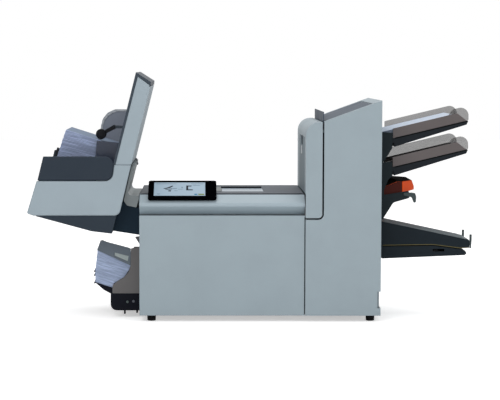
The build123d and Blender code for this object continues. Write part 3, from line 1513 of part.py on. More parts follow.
for tray_number, drop in ((1, 0.0), (2, tray_pitch)):
    with BuildPart() as feeder_tray:
        tray_section = [
            (tray_left, tray_height(tray_left, drop)),
            (tray_end, tray_height(tray_end, drop)),
            (tray_end - tray_tip_cut, tray_height(tray_end, drop) - tray_thickness),
            (tray_step_x, tray_height(feeder_reach, drop) - tray_root_thickness),
            (tray_step_x, tray_height(feeder_reach, drop) - tray_thickness),
            (tray_left, tray_height(tray_left, drop) - tray_thickness - 1.0),
        ]
        extrude(outline(front_plane(tray_half), tray_section, [0.0, 2.0, 3.0, 2.0, 0.0, 0.0]),
                amount=2 * tray_half)
        for axle_side in (-1, 1):
            with BuildSketch(front_plane(axle_side * (feeder_inner - 1.5) + 1.5)):
                with Locations((feeder_reach - 14.0, tray_height(feeder_reach, drop) - 9.0)):
                    Circle(axle_radius)
            extrude(amount=3.0)
        well = slab(feed_roller_x - feed_roller_radius - 3.0, feed_roller_x + feed_roller_radius + 3.0,
                    tray_height(feed_roller_x, drop) - 2 * tray_thickness,
                    tray_height(feed_roller_x, drop) + tray_thickness)
        extrude(outline(front_plane(feed_roller_length / 2 + 2.0), well),
                amount=feed_roller_length + 4.0, mode=Mode.SUBTRACT)
        with BuildSketch(front_plane(shaft_half + 0.5)):
            with Locations((feed_roller_x, tray_height(feed_roller_x, drop) - roller_sink)):
                Circle(axle_radius + fit)
        extrude(amount=2 * shaft_half + 1.0, mode=Mode.SUBTRACT)
        for side in (-1, 1):
            with BuildSketch(Plane.XY.offset(tray_height(track_left, drop) - tray_root_thickness)):
                with Locations((track_left, side * (track_inner + track_outer) / 2)):
                    Rectangle(2 * track_half, track_outer - track_inner)
            extrude(amount=tray_root_thickness + tray_thickness, mode=Mode.SUBTRACT)
    save(feeder_tray, f"tray_{tray_number}")

    # each roller turns on a shaft between the two sides of the tray's well
    with BuildPart() as feed_roller:
        roller_z = tray_height(feed_roller_x, drop) - roller_sink
        with BuildSketch(front_plane(feed_roller_length / 2)):
            with Locations((feed_roller_x, roller_z)):
                Circle(feed_roller_radius)
        extrude(amount=feed_roller_length)
        with BuildSketch(front_plane(shaft_half)):
            with Locations((feed_roller_x, roller_z)):
                Circle(axle_radius)
        extrude(amount=2 * shaft_half)
    save(feed_roller, f"tray_{tray_number}_feed_roller")

    for guide_name, side in (("front", -1), ("rear", 1)):
        guide_back = side * (guide_offset + guide_thick / 2) + guide_thick / 2
        with BuildPart() as feeder_guide:
            guide_root = feeder_reach + 1.0
            root_height = guide_height
            guide_corners = [
                (guide_root, tray_height(guide_root, drop) + seat_gap),
                (tray_end, tray_height(tray_end, drop) + seat_gap),
                (tray_end, tray_height(tray_end, drop) + guide_height),
            ]
            guide_radii = [0.0, 4.0, guide_corner_radius]
            if guide_name == "front":
                root_height = guide_rail_height
                ear_left = tray_end - guide_ear_length
                ear_top = ear_left + guide_ear_rise
                guide_corners += [
                    (ear_top, tray_height(ear_top, drop) + guide_height),
                    (ear_left, tray_height(ear_left, drop) + guide_rail_height),
                ]
                guide_radii += [6.0, 6.0]
            guide_corners.append((guide_root, tray_height(guide_root, drop) + root_height))
            guide_radii.append(2.0)
            extrude(outline(front_plane(guide_back), guide_corners, guide_radii), amount=guide_thick)
            carrier = slab(track_left - track_half + 0.5, track_left + track_half - 0.5,
                           tray_height(track_left, drop) - tray_thickness / 2,
                           tray_height(track_left, drop) + 3.0)
            extrude(outline(front_plane(guide_back), carrier), amount=guide_thick)
        save(feeder_guide, f"tray_{tray_number}_{guide_name}_guide")

sheet_left = feeder_root
sheet_right = tray_end - 41.0
with BuildPart() as sheet_stack:
    sheet_corners = [
        (sheet_left, tray_height(sheet_left, 0.0) + 1.5),
        (sheet_right, tray_height(sheet_right, 0.0) + 1.5),
        (sheet_right, tray_height(sheet_right, 0.0) + sheet_pile),
        (sheet_left, tray_height(sheet_left, 0.0) + sheet_pile),
    ]
    extrude(outline(front_plane(sheet_width / 2), sheet_corners), amount=sheet_width)
save(sheet_stack, "sheet_stack")

# insert platform: an orange wedge with a chamfered nose, hinged between the two arms
platform_half = 118.0
platform_root = platform_pivot_x - 2.5
platform_tip = feeder_reach + 74.0
platform_reach = feeder_reach + 33.0
platform_top = tray_root_height - 131.0
chamfer_half = platform_half - 55.0

with BuildPart() as insert_platform:
    with BuildSketch(Plane.XY.offset(platform_top - 50.0)):
        Polygon(
            (platform_root, -platform_half),
            (platform_reach, -platform_half),
            (platform_tip, -chamfer_half),
            (platform_tip, chamfer_half),
            (platform_reach, platform_half),
            (platform_root, platform_half),
            align=None,
        )
    extrude(amount=50.0)
    platform_profile = [
        (platform_root, platform_top - 46.0),
        (platform_tip + 4.0, platform_top - 28.5),
        (platform_tip - 8.0, platform_top),
        (feeder_reach + 17.0, platform_top - 1.0),
        (platform_root, platform_top - 21.0),
    ]
    extrude(outline(front_plane(platform_half + 1.0), platform_profile, [6.0, 0.0, 0.0, 20.0, 4.0]),
            amount=2 * platform_half + 2.0, mode=Mode.INTERSECT)
    with BuildSketch(front_plane(pin_reach)):
        with Locations((platform_pivot_x, platform_pivot_z)):
            Circle(platform_pin_radius)
    extrude(amount=2 * pin_reach)
save(insert_platform, "insert_platform")

# claw-shaped lever at the end of the front arm
claw_thick = 4.0
with BuildPart() as insert_claw_lever:
    claw = [
        (claw_pivot_x - 6.0, claw_pivot_z - 3.0),
        (claw_pivot_x + 18.1, claw_pivot_z - 8.5),
        (claw_pivot_x + 24.8, claw_pivot_z - 25.1),
        (claw_pivot_x + 31.2, claw_pivot_z - 23.8),
        (claw_pivot_x + 32.3, claw_pivot_z - 6.6),
        (claw_pivot_x + 28.8, claw_pivot_z + 4.1),
        (claw_pivot_x + 18.1, claw_pivot_z + 6.0),
        (claw_pivot_x - 6.0, claw_pivot_z + 5.0),
    ]
    extrude(outline(front_plane(-feeder_half_depth - seat_gap), claw,
                    [3.0, 6.0, 1.0, 3.0, 5.0, 3.0, 3.0, 3.0]), amount=claw_thick)
    with BuildSketch(front_plane(-feeder_inner + 1.0)):
        with Locations((claw_pivot_x, claw_pivot_z)):
            Circle(claw_pin_radius)
    extrude(amount=plate_thick + seat_gap + 2.0)
save(insert_claw_lever, "insert_claw_lever")

# ================================================================== lower tray and drop tray
lower_bend_x = lower_tray_end - 111.2
lower_neck_x = lower_tray_end - 28.7
lower_corners = [
    (feeder_root, lower_root_height),
    (feeder_root + 20.1, lower_root_height - 4.0),
    (lower_tray_end, lower_root_height - 60.5),
    (lower_tray_end + 1.0, lower_root_height - 85.0),
    (lower_neck_x, lower_root_height - 86.7),
    (lower_bend_x, lower_root_height - 75.8),
    (feeder_root, lower_root_height - 78.5),
]
lower_radii = [0.0, 8.0, 3.0, 2.0, 20.0, 20.0, 0.0]
stop_left = lower_tray_end + 2.3
stop_right = lower_tray_end + 8.0
stop_level = lower_root_height - 78.0   # lower face of the stops' feet
stop_feet = (-20.0, 32.0)
stop_foot_wide = 12.0
stop_foot_thick = 4.0

# ears under the tray take the drop tray's pins
drop_pivot_x = feeder_root + 12.4
drop_pivot_z = lower_root_height - 90.5
drop_pin_radius = 3.0
drop_ear_half = 6.0
drop_ear_in = lower_half_depth + seam
drop_ear_out = drop_ear_in + 4.0

with BuildPart() as lower_tray:
    extrude(outline(front_plane(lower_half_depth), lower_corners, lower_radii),
            amount=2 * lower_half_depth)
    hollow = [
        (feeder_root + 4.0, lower_root_height - 10.5),
        (feeder_root + 19.4, lower_root_height - 12.5),
        (lower_tray_end - 20.0, lower_root_height - 63.5),
        (lower_tray_end - 24.0, lower_root_height - 79.5),
        (lower_neck_x, lower_root_height - 80.5),
        (lower_bend_x, lower_root_height - 69.5),
        (feeder_root + 4.0, lower_root_height - 72.5),
    ]
    extrude(outline(front_plane(lower_half_depth - 4.0), hollow), amount=2 * lower_half_depth - 8.0,
            mode=Mode.SUBTRACT)
    for side in (-1, 1):
        ear_back = max(side * drop_ear_in, side * drop_ear_out)
        ear = slab(drop_pivot_x - drop_ear_half, drop_pivot_x + drop_ear_half,
                   drop_pivot_z - drop_ear_half, drop_pivot_z + 25.0)
        extrude(outline(front_plane(ear_back), ear), amount=drop_ear_out - drop_ear_in)
        block_back = max(side * (lower_half_depth - 2.0), side * drop_ear_out)
        block = slab(drop_pivot_x - drop_ear_half, drop_pivot_x + drop_ear_half,
                     drop_pivot_z + 15.0, drop_pivot_z + 25.0)
        extrude(outline(front_plane(block_back), block), amount=drop_ear_out - lower_half_depth + 2.0)
        with BuildSketch(front_plane(ear_back)):
            with Locations((drop_pivot_x, drop_pivot_z)):
                Circle(drop_pin_radius + fit)
        extrude(amount=drop_ear_out - drop_ear_in, mode=Mode.SUBTRACT)
    for foot_back in stop_feet:
        guide_way = slab(lower_tray_end - 32.0, stop_right, stop_level - 0.5,
                         stop_level + stop_foot_thick + 0.5)
        extrude(outline(front_plane(foot_back + 0.5), guide_way), amount=stop_foot_wide + 1.0,
                mode=Mode.SUBTRACT)
save(lower_tray, "lower_tray")

drop_corners = [
    (drop_pivot_x - 8.0, drop_pivot_z + 9.0),
    (lower_bend_x - 0.8, drop_pivot_z + 12.2),
    (lower_neck_x - 0.3, drop_pivot_z + 1.3),
    (lower_tray_end - 12.5, drop_pivot_z - 2.8),
    (lower_tray_end - 6.9, drop_pivot_z - 11.5),
    (lower_tray_end - 13.3, drop_pivot_z - 17.1),
    (drop_pivot_x + 3.5, drop_pivot_z - 28.0),
]
drop_radii = [2.0, 20.0, 20.0, 3.0, 3.0, 4.0, 4.0]
with BuildPart() as drop_tray:
    extrude(outline(front_plane(lower_half_depth), drop_corners, drop_radii),
            amount=2 * lower_half_depth)
    drop_inside = [
        (drop_pivot_x + 8.0, drop_pivot_z + 5.5),
        (lower_bend_x - 2.8, drop_pivot_z + 8.2),
        (lower_neck_x - 45.3, drop_pivot_z + 3.5),
        (lower_neck_x - 5.3, drop_pivot_z - 3.0),
        (lower_neck_x - 5.3, drop_pivot_z - 14.0),
        (drop_pivot_x + 8.0, drop_pivot_z - 24.0),
    ]
    extrude(outline(front_plane(lower_half_depth - 3.0), drop_inside),
            amount=2 * lower_half_depth - 6.0, mode=Mode.SUBTRACT)
    grip_hole = slab(lower_bend_x - 1.8, lower_bend_x + 35.2, drop_pivot_z - 6.0, drop_pivot_z + 2.0)
    extrude(outline(front_plane(lower_half_depth), grip_hole, 3.0), amount=2 * lower_half_depth,
            mode=Mode.SUBTRACT)
    with BuildSketch(front_plane(drop_ear_out)):
        with Locations((drop_pivot_x, drop_pivot_z)):
            Circle(drop_pin_radius)
    extrude(amount=2 * drop_ear_out)
save(drop_tray, "drop_tray")

with BuildPart() as tray_end_stops:
    prong = [
        (stop_left, stop_level - 8.5),
        (stop_right - 2.0, stop_level - 8.5),
        (stop_right, stop_level + 18.5),
        (stop_right, stop_level + 34.5),
        (stop_left - 0.8, stop_level + 34.5),
        (stop_left - 0.8, stop_level + 20.5),
    ]
    for prong_back in (-lower_half_depth + 6.0, lower_half_depth):
        extrude(outline(front_plane(prong_back), prong, 1.0), amount=6.0)
    cross_bar = slab(stop_left + 1.0, stop_right - 2.0, stop_level - 1.5, stop_level + 12.5)
    extrude(outline(front_plane(lower_half_depth - 5.0), cross_bar),
            amount=2 * lower_half_depth - 10.0)
    foot = slab(lower_tray_end - 26.0, stop_right - 3.0, stop_level, stop_level + stop_foot_thick)
    for foot_back in stop_feet:
        extrude(outline(front_plane(foot_back), foot), amount=stop_foot_wide)
save(tray_end_stops, "tray_end_stops")
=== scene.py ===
"""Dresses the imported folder-inserter: finishes, paper piles, ribs, rails, screws and screen."""
import math
import random

import bmesh
import bpy
from mathutils import Matrix, Vector


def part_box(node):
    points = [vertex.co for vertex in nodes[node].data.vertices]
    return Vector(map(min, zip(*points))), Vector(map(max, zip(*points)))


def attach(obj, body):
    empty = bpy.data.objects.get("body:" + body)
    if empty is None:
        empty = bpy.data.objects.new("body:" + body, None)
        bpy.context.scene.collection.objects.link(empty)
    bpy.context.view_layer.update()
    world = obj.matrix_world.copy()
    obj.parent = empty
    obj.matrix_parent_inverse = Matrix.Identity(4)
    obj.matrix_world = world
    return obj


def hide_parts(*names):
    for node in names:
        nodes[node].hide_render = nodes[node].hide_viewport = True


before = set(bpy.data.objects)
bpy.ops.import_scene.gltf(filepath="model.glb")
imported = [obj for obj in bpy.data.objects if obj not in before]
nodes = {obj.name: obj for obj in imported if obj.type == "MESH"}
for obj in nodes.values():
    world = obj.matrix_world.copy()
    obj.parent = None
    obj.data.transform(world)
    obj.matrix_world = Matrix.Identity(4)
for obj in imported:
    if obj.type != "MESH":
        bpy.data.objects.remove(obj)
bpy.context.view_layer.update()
MM = 0.001

# ------------------------------------------------------------------ camera
SENSOR = 36.0
LENS = 120.0
PITCH = 4.6
SIDE_SHIFT = 0.1
CAMERA_PLACE = (-0.159, -5.210, 0.772)
SIGHT_LIMIT = 100

camera_data = bpy.data.cameras.new("studio_camera")
camera_data.sensor_width = SENSOR
camera_data.lens = LENS
camera_data.shift_x = SIDE_SHIFT
camera_data.clip_end = SIGHT_LIMIT
camera = bpy.data.objects.new("studio_camera", camera_data)
camera.location = CAMERA_PLACE
camera.rotation_euler = (math.radians(90 - PITCH), 0, 0)
bpy.context.scene.collection.objects.link(camera)
bpy.context.scene.camera = camera


# ------------------------------------------------------------------ shader node groups
BEVEL_SAMPLES = 6
BUMP_DEPTH = 0.0002
NOISE_MIDDLE = 0.5
GLOSS_SCALE, CHIP_SCALE, DUST_SCALE, FIBRE_SCALE = 14.0, 60.0, 9.0, 2200.0
TURN_GAIN = 5.0
CHIP_LEVEL, CHIP_GAIN = 0.35, 3.0
DUST_LEVEL, DUST_GAIN = 0.4, 1.6
LEAF_STRETCH = (0.07, 0.07, 1.0)
STREAK_LEVEL, STREAK_GAIN = 0.42, 3.5
# level and gain of the mask that paints light and shade on a pile's upper face
TOP_LIGHT_LEVEL, TOP_LIGHT_GAIN = 0.55, 5.0
FIBRE_HEIGHT, LEAF_HEIGHT, PAPER_BUMP = 0.4, 1.6, 0.15
PAPER_ROUGHNESS, FIBRE_ROUGHNESS = 0.6, 0.3
# the colour sockets of a mix node, by number
MIX_FACTOR, MIX_FIRST, MIX_SECOND, MIX_RESULT = 0, 6, 7, 2


def new_group(name, inputs, outputs):
    """An empty shader group with named sockets; inputs are (name, kind, default)."""
    group = bpy.data.node_groups.new(name, "ShaderNodeTree")
    for label, kind, value in inputs:
        socket = group.interface.new_socket(name=label, in_out="INPUT", socket_type=kind)
        socket.default_value = value
    for label, kind in outputs:
        group.interface.new_socket(name=label, in_out="OUTPUT", socket_type=kind)
    return group, group.nodes.new("NodeGroupInput"), group.nodes.new("NodeGroupOutput")


def feed(tree, value, socket):
    """Sets a socket to a number or a colour, or links another node's output to it."""
    if isinstance(value, (int, float)):
        socket.default_value = value
    elif isinstance(value, tuple):
        socket.default_value = (*value, 1.0)
    else:
        tree.links.new(value, socket)


def math_node(tree, operation, first, second, clamp=False):
    """A math node fed by sockets or plain numbers; returns its output."""
    node = tree.nodes.new("ShaderNodeMath")
    node.operation = operation
    node.use_clamp = clamp
    feed(tree, first, node.inputs[0])
    feed(tree, second, node.inputs[1])
    return node.outputs[0]


def rise_above(tree, value, level, gain):
    """Nothing below a level, then rising with a gain up to one."""
    return math_node(tree, "MULTIPLY", math_node(tree, "SUBTRACT", value, level), gain, clamp=True)


def noise(tree, place, scale, detail, roughness):
    """A noise texture's value at a place."""
    node = tree.nodes.new("ShaderNodeTexNoise")
    node.inputs["Detail"].default_value = detail
    node.inputs["Roughness"].default_value = roughness
    tree.links.new(place, node.inputs["Vector"])
    feed(tree, scale, node.inputs["Scale"])
    return node.outputs["Fac"]


def mix_colour(tree, factor, first, second):
    """Mixes two colours by a factor; returns the colour."""
    node = tree.nodes.new("ShaderNodeMix")
    node.data_type = "RGBA"
    feed(tree, factor, node.inputs[MIX_FACTOR])
    feed(tree, first, node.inputs[MIX_FIRST])
    feed(tree, second, node.inputs[MIX_SECOND])
    return node.outputs[MIX_RESULT]


def object_place(tree):
    """The point on the surface, in object space."""
    return tree.nodes.new("ShaderNodeTexCoord").outputs["Object"]


def rounded_normal(tree, radius):
    """The surface's normal, rounded over its edges by a radius socket."""
    node = tree.nodes.new("ShaderNodeBevel")
    node.samples = BEVEL_SAMPLES
    tree.links.new(radius, node.inputs["Radius"])
    return node.outputs["Normal"]


def add_bump(tree, height):
    """A shallow bump over a height socket; returns the node."""
    node = tree.nodes.new("ShaderNodeBump")
    node.inputs["Distance"].default_value = BUMP_DEPTH
    tree.links.new(height, node.inputs["Height"])
    return node


def make_moulded_grain():
    """Fine moulding grain: bumps the surface and varies its roughness."""
    group, given, result = new_group(
        "moulded_grain",
        [("Grain Scale", "NodeSocketFloat", 900.0), ("Grain Depth", "NodeSocketFloat", 0.15),
         ("Roughness", "NodeSocketFloat", 0.5), ("Unevenness", "NodeSocketFloat", 0.1),
         ("Edge Radius", "NodeSocketFloat", 0.0012)],
        [("Roughness", "NodeSocketFloat"), ("Normal", "NodeSocketVector")],
    )
    place = object_place(group)
    grain = noise(group, place, given.outputs["Grain Scale"], detail=3.0, roughness=0.6)
    patches = noise(group, place, GLOSS_SCALE, detail=3.0, roughness=0.55)
    spread = math_node(group, "MULTIPLY",
                       math_node(group, "SUBTRACT", patches, NOISE_MIDDLE),
                       given.outputs["Unevenness"])
    rough = math_node(group, "ADD", given.outputs["Roughness"], spread, clamp=True)
    bump = add_bump(group, grain)
    group.links.new(given.outputs["Grain Depth"], bump.inputs["Strength"])
    group.links.new(rounded_normal(group, given.outputs["Edge Radius"]), bump.inputs["Normal"])
    group.links.new(rough, result.inputs["Roughness"])
    group.links.new(bump.outputs["Normal"], result.inputs["Normal"])
    return group


def make_worn_and_lit_edges():
    """Finds edges and corners by comparing a rounded normal with the true one; the patchy mask
    serves both wear and a painted highlight on edges.
    """
    group, given, result = new_group(
        "worn_and_lit_edges",
        [("Width", "NodeSocketFloat", 0.0015), ("Amount", "NodeSocketFloat", 1.0)],
        [("Wear And Highlight", "NodeSocketFloat"), ("Dust", "NodeSocketFloat")],
    )
    place = object_place(group)
    dot = group.nodes.new("ShaderNodeVectorMath")
    dot.operation = "DOT_PRODUCT"
    group.links.new(rounded_normal(group, given.outputs["Width"]), dot.inputs[0])
    group.links.new(group.nodes.new("ShaderNodeNewGeometry").outputs["Normal"], dot.inputs[1])
    turned = math_node(group, "MULTIPLY",
                       math_node(group, "SUBTRACT", 1.0, dot.outputs["Value"]), TURN_GAIN,
                       clamp=True)
    chips = noise(group, place, CHIP_SCALE, detail=4.0, roughness=0.65)
    broken = math_node(group, "MULTIPLY", turned,
                       rise_above(group, chips, CHIP_LEVEL, CHIP_GAIN))
    wear_and_highlight = math_node(group, "MULTIPLY", broken, given.outputs["Amount"], clamp=True)
    cloud = noise(group, place, DUST_SCALE, detail=4.0, roughness=0.6)
    group.links.new(wear_and_highlight, result.inputs["Wear And Highlight"])
    group.links.new(rise_above(group, cloud, DUST_LEVEL, DUST_GAIN), result.inputs["Dust"])
    return group


def make_paper_pile():
    """Streaks along the leaves of a sloping pile, and a mask for its upper face, where light and
    shade are painted.
    """
    group, given, result = new_group(
        "paper_pile",
        [("Slope", "NodeSocketFloat", 0.0), ("Leaf Scale", "NodeSocketFloat", 190.0)],
        [("Streaks", "NodeSocketFloat"), ("Top Light Mask", "NodeSocketFloat"),
         ("Roughness", "NodeSocketFloat"), ("Normal", "NodeSocketVector")],
    )
    place = object_place(group)
    turn = group.nodes.new("ShaderNodeVectorRotate")
    turn.rotation_type = "Y_AXIS"
    group.links.new(place, turn.inputs["Vector"])
    group.links.new(given.outputs["Slope"], turn.inputs["Angle"])
    stretch = group.nodes.new("ShaderNodeVectorMath")
    stretch.operation = "MULTIPLY"
    stretch.inputs[1].default_value = LEAF_STRETCH
    group.links.new(turn.outputs["Vector"], stretch.inputs[0])
    leaf = noise(group, stretch.outputs["Vector"], given.outputs["Leaf Scale"], detail=3.0,
                 roughness=0.7)
    split = group.nodes.new("ShaderNodeSeparateXYZ")
    group.links.new(group.nodes.new("ShaderNodeNewGeometry").outputs["True Normal"],
                    split.inputs[0])
    fibre = noise(group, place, FIBRE_SCALE, detail=3.0, roughness=0.6)
    height = math_node(group, "ADD", math_node(group, "MULTIPLY", fibre, FIBRE_HEIGHT),
                       math_node(group, "MULTIPLY", leaf, LEAF_HEIGHT))
    bump = add_bump(group, height)
    bump.inputs["Strength"].default_value = PAPER_BUMP
    rough = math_node(group, "ADD", PAPER_ROUGHNESS,
                      math_node(group, "MULTIPLY", fibre, FIBRE_ROUGHNESS))
    streaks = rise_above(group, leaf, STREAK_LEVEL, STREAK_GAIN)
    # painted light and shade: faces turned upward take the pile's top colour, the rest its side
    # colour
    upper = rise_above(group, split.outputs["Z"], TOP_LIGHT_LEVEL, TOP_LIGHT_GAIN)
    group.links.new(streaks, result.inputs["Streaks"])
    group.links.new(upper, result.inputs["Top Light Mask"])
    group.links.new(rough, result.inputs["Roughness"])
    group.links.new(bump.outputs["Normal"], result.inputs["Normal"])
    return group


moulded_grain = make_moulded_grain()
worn_and_lit_edges = make_worn_and_lit_edges()
paper_pile = make_paper_pile()


def add_group(tree, group, values):
    """Places a node group and sets its inputs."""
    node = tree.nodes.new("ShaderNodeGroup")
    node.node_tree = group
    for label, value in values.items():
        node.inputs[label].default_value = value
    return node


# ------------------------------------------------------------------ materials
UNEVENNESS = 0.18
# the edge mask lightens the colour as wear and as a painted highlight along edges
WEAR_AND_HIGHLIGHT_WIDTH, WEAR_AND_HIGHLIGHT_LIFT, WEAR_AND_HIGHLIGHT_FLOOR = 1.3, 1.35, 0.01
DUST_SHADE = 0.9
STREAK_DARK, STREAK_BRIGHT = 0.72, 1.3
PAPER_SPECULAR = 0.2


def srgb(red, green, blue):
    """Linear colour from display values of 0 to 255."""
    def line(value):
        value /= 255
        return value / 12.92 if value <= 0.04045 else ((value + 0.055) / 1.055) ** 2.4
    return (line(red), line(green), line(blue))


def new_material(name):
    """An empty node material; returns it with its tree and its shader."""
    material = bpy.data.materials.new(name)
    material.use_nodes = True
    return material, material.node_tree, material.node_tree.nodes["Principled BSDF"]


def plastic(name, colour, roughness=0.45, grain=900.0, depth=0.15, wear_and_highlight=0.25, metallic=0.0,
            alpha=1.0, edge=0.0012, specular=0.5):
    """A moulded or painted finish of a colour and a roughness, with lighter edges that are partly
    wear and partly a painted highlight.
    """
    material, tree, shader = new_material(name)
    surface = add_group(tree, moulded_grain, {
        "Grain Scale": grain, "Grain Depth": depth, "Roughness": roughness,
        "Unevenness": UNEVENNESS, "Edge Radius": edge})
    edges = add_group(tree, worn_and_lit_edges, {"Width": edge * WEAR_AND_HIGHLIGHT_WIDTH, "Amount": wear_and_highlight})
    worn_and_lit = tuple(min(1.0, value * WEAR_AND_HIGHLIGHT_LIFT + WEAR_AND_HIGHLIGHT_FLOOR) for value in colour)
    dusty = tuple(value * DUST_SHADE for value in colour)
    base = mix_colour(tree, edges.outputs["Dust"], colour, dusty)
    base = mix_colour(tree, edges.outputs["Wear And Highlight"], base, worn_and_lit)
    tree.links.new(base, shader.inputs["Base Color"])
    tree.links.new(surface.outputs["Roughness"], shader.inputs["Roughness"])
    tree.links.new(surface.outputs["Normal"], shader.inputs["Normal"])
    shader.inputs["Metallic"].default_value = metallic
    shader.inputs["Specular IOR Level"].default_value = specular
    shader.inputs["Alpha"].default_value = alpha
    return material


def paper(name, side_colour_as_lit, top_colour_as_lit, slope):
    """Paper in a pile, streaked along the leaves; painted light and shade give its sides and its
    upper face two colours of one paper.
    """
    material, tree, shader = new_material(name)
    leaves = add_group(tree, paper_pile, {"Slope": math.radians(slope)})
    streaked = mix_colour(tree, leaves.outputs["Streaks"],
                          tuple(value * STREAK_DARK for value in side_colour_as_lit),
                          tuple(min(1.0, value * STREAK_BRIGHT) for value in side_colour_as_lit))
    base = mix_colour(tree, leaves.outputs["Top Light Mask"], streaked, top_colour_as_lit)
    tree.links.new(base, shader.inputs["Base Color"])
    tree.links.new(leaves.outputs["Roughness"], shader.inputs["Roughness"])
    tree.links.new(leaves.outputs["Normal"], shader.inputs["Normal"])
    shader.inputs["Specular IOR Level"].default_value = PAPER_SPECULAR
    return material


# the covers' edges are lightened more, a painted highlight along their rounded edges besides wear
casing_light = plastic("casing_light", srgb(141, 154, 161), 0.5, grain=1400.0, depth=0.08,
                       edge=0.0025, specular=0.35, wear_and_highlight=0.5)
casing_hopper = plastic("casing_hopper", srgb(143, 156, 164), 0.5, grain=1400.0, depth=0.08,
                        edge=0.003, specular=0.35, wear_and_highlight=0.5)
nose_light = plastic("nose_light", srgb(148, 162, 170), 0.4, depth=0.06, specular=0.35)
deck_grey = plastic("deck_grey", srgb(74, 80, 88), 0.6, specular=0.25)
deck_block = plastic("deck_block", srgb(98, 103, 104), 0.5, specular=0.3)
window_pale = plastic("window_pale", srgb(139, 153, 165), 0.3, depth=0.02, wear_and_highlight=0.05)
console_black = plastic("console_black", srgb(3, 3, 5), 0.6, depth=0.05, specular=0.0, wear_and_highlight=0.1)
screen_pale = plastic("screen_pale", srgb(142, 164, 181), 0.3, depth=0.01, wear_and_highlight=0.0, specular=0.2)
ink_dark = plastic("ink_dark", srgb(18, 24, 34), 0.6, depth=0.0, wear_and_highlight=0.0, specular=0.1)
ink_soft = plastic("ink_soft", srgb(92, 112, 126), 0.6, depth=0.0, wear_and_highlight=0.0, specular=0.1)
ink_blue = plastic("ink_blue", srgb(40, 110, 150), 0.6, depth=0.0, wear_and_highlight=0.0, specular=0.1)
ink_olive = plastic("ink_olive", srgb(110, 124, 60), 0.6, depth=0.0, wear_and_highlight=0.0, specular=0.1)
inset_grey = plastic("inset_grey", srgb(97, 112, 120), 0.55, specular=0.25)
latch_pale = plastic("latch_pale", srgb(170, 176, 180), 0.4)
inlet_grey = plastic("inlet_grey", srgb(120, 130, 136), 0.5, specular=0.2)
knob_grey = plastic("knob_grey", srgb(78, 80, 84), 0.5, specular=0.25)
lid_grey = plastic("lid_grey", srgb(54, 66, 80), 0.5, depth=0.08, specular=0.12)
band_dark = plastic("band_dark", srgb(34, 44, 55), 0.55, specular=0.2)
belly_dark = plastic("belly_dark", srgb(36, 46, 56), 0.6, specular=0.2)
back_dark = plastic("back_dark", srgb(46, 56, 66), 0.5, specular=0.25)
bed_dark = plastic("bed_dark", srgb(60, 64, 70), 0.5, specular=0.3)
bridge_dark = plastic("bridge_dark", srgb(20, 36, 48), 0.6, specular=0.1)
black_plastic = plastic("black_plastic", srgb(20, 24, 30), 0.55, specular=0.2)
column_dark = plastic("column_dark", srgb(26, 34, 38), 0.6, specular=0.1)
chute_beige = plastic("chute_beige", srgb(136, 143, 145), 0.5, specular=0.2)
hood_grey = plastic("hood_grey", srgb(94, 103, 112), 0.55, specular=0.2)
stacker_brown = plastic("stacker_brown", srgb(101, 99, 99), 0.6, specular=0.15)
stacker_black = plastic("stacker_black", srgb(8, 11, 21), 0.55, specular=0.1)
tray_dark = plastic("tray_dark", srgb(24, 29, 34), 0.55, specular=0.1)
edge_black = plastic("edge_black", srgb(6, 7, 9), 0.6, specular=0.05)
lower_dark = plastic("lower_dark", srgb(24, 32, 38), 0.6, specular=0.1)
lower_rib = plastic("lower_rib", srgb(106, 114, 118), 0.6, specular=0.2)
seam_olive = plastic("seam_olive", srgb(96, 88, 52), 0.6, specular=0.2)
lever_black = plastic("lever_black", srgb(10, 12, 18), 0.4, specular=0.1)
platform_orange = plastic("platform_orange", srgb(206, 70, 6), 0.42, specular=0.12)
# the platform's orange as painted shade, for the cheeks on its side faces
platform_orange_shaded = plastic("platform_orange_shaded", srgb(58, 14, 6), 0.45, specular=0.1)
mat_brown = plastic("mat_brown", srgb(30, 26, 24), 0.9, specular=0.02)
rail_brown = plastic("rail_brown", srgb(88, 82, 82), 0.55, specular=0.25)
tray_guide_smoked = plastic("tray_guide_smoked", srgb(52, 50, 50), 0.3, depth=0.02, wear_and_highlight=0.1,
                            alpha=0.48)
smoked_blue = plastic("smoked_blue", srgb(54, 62, 80), 0.25, depth=0.02, wear_and_highlight=0.05, alpha=0.82,
                      specular=0.25)
rear_guide_grey = plastic("rear_guide_grey", srgb(128, 134, 146), 0.4, depth=0.03, wear_and_highlight=0.05,
                          specular=0.2)
rim_pale = plastic("rim_pale", srgb(168, 173, 178), 0.35, depth=0.03)
steel_plain = plastic("steel_plain", srgb(150, 150, 152), 0.3, grain=300.0, depth=0.05,
                      metallic=1.0)
steel_bright = plastic("steel_bright", srgb(190, 190, 192), 0.2, grain=300.0, depth=0.03,
                       metallic=1.0)
screw_dark = plastic("screw_dark", srgb(92, 94, 98), 0.3, grain=300.0, depth=0.03,
                     metallic=1.0)
rubber_black = plastic("rubber_black", srgb(18, 18, 20), 0.85, grain=500.0, depth=0.3, wear_and_highlight=0.1,
                       specular=0.15)
rubber_roller = plastic("rubber_roller", srgb(60, 60, 62), 0.75, grain=600.0, depth=0.3, wear_and_highlight=0.1)
pane_pale = plastic("pane_pale", srgb(150, 160, 160), 0.4, specular=0.2)
claw_grey = plastic("claw_grey", srgb(52, 62, 64), 0.5, specular=0.2)
button_green = plastic("button_green", srgb(60, 74, 72), 0.35)
button_pale = plastic("button_pale", srgb(78, 82, 90), 0.35)
# each paper's two colours are painted light and shade on one white paper, for its sides and for
# its upper face
envelope_paper = paper("envelope_paper", srgb(152, 164, 194), srgb(120, 134, 154),
                       slope=-14.0)
stacked_paper = paper("stacked_paper", srgb(164, 178, 206), srgb(160, 172, 200),
                      slope=-18.0)
sheet_paper = paper("sheet_paper", srgb(150, 162, 182), srgb(186, 196, 210),
                    slope=13.4)

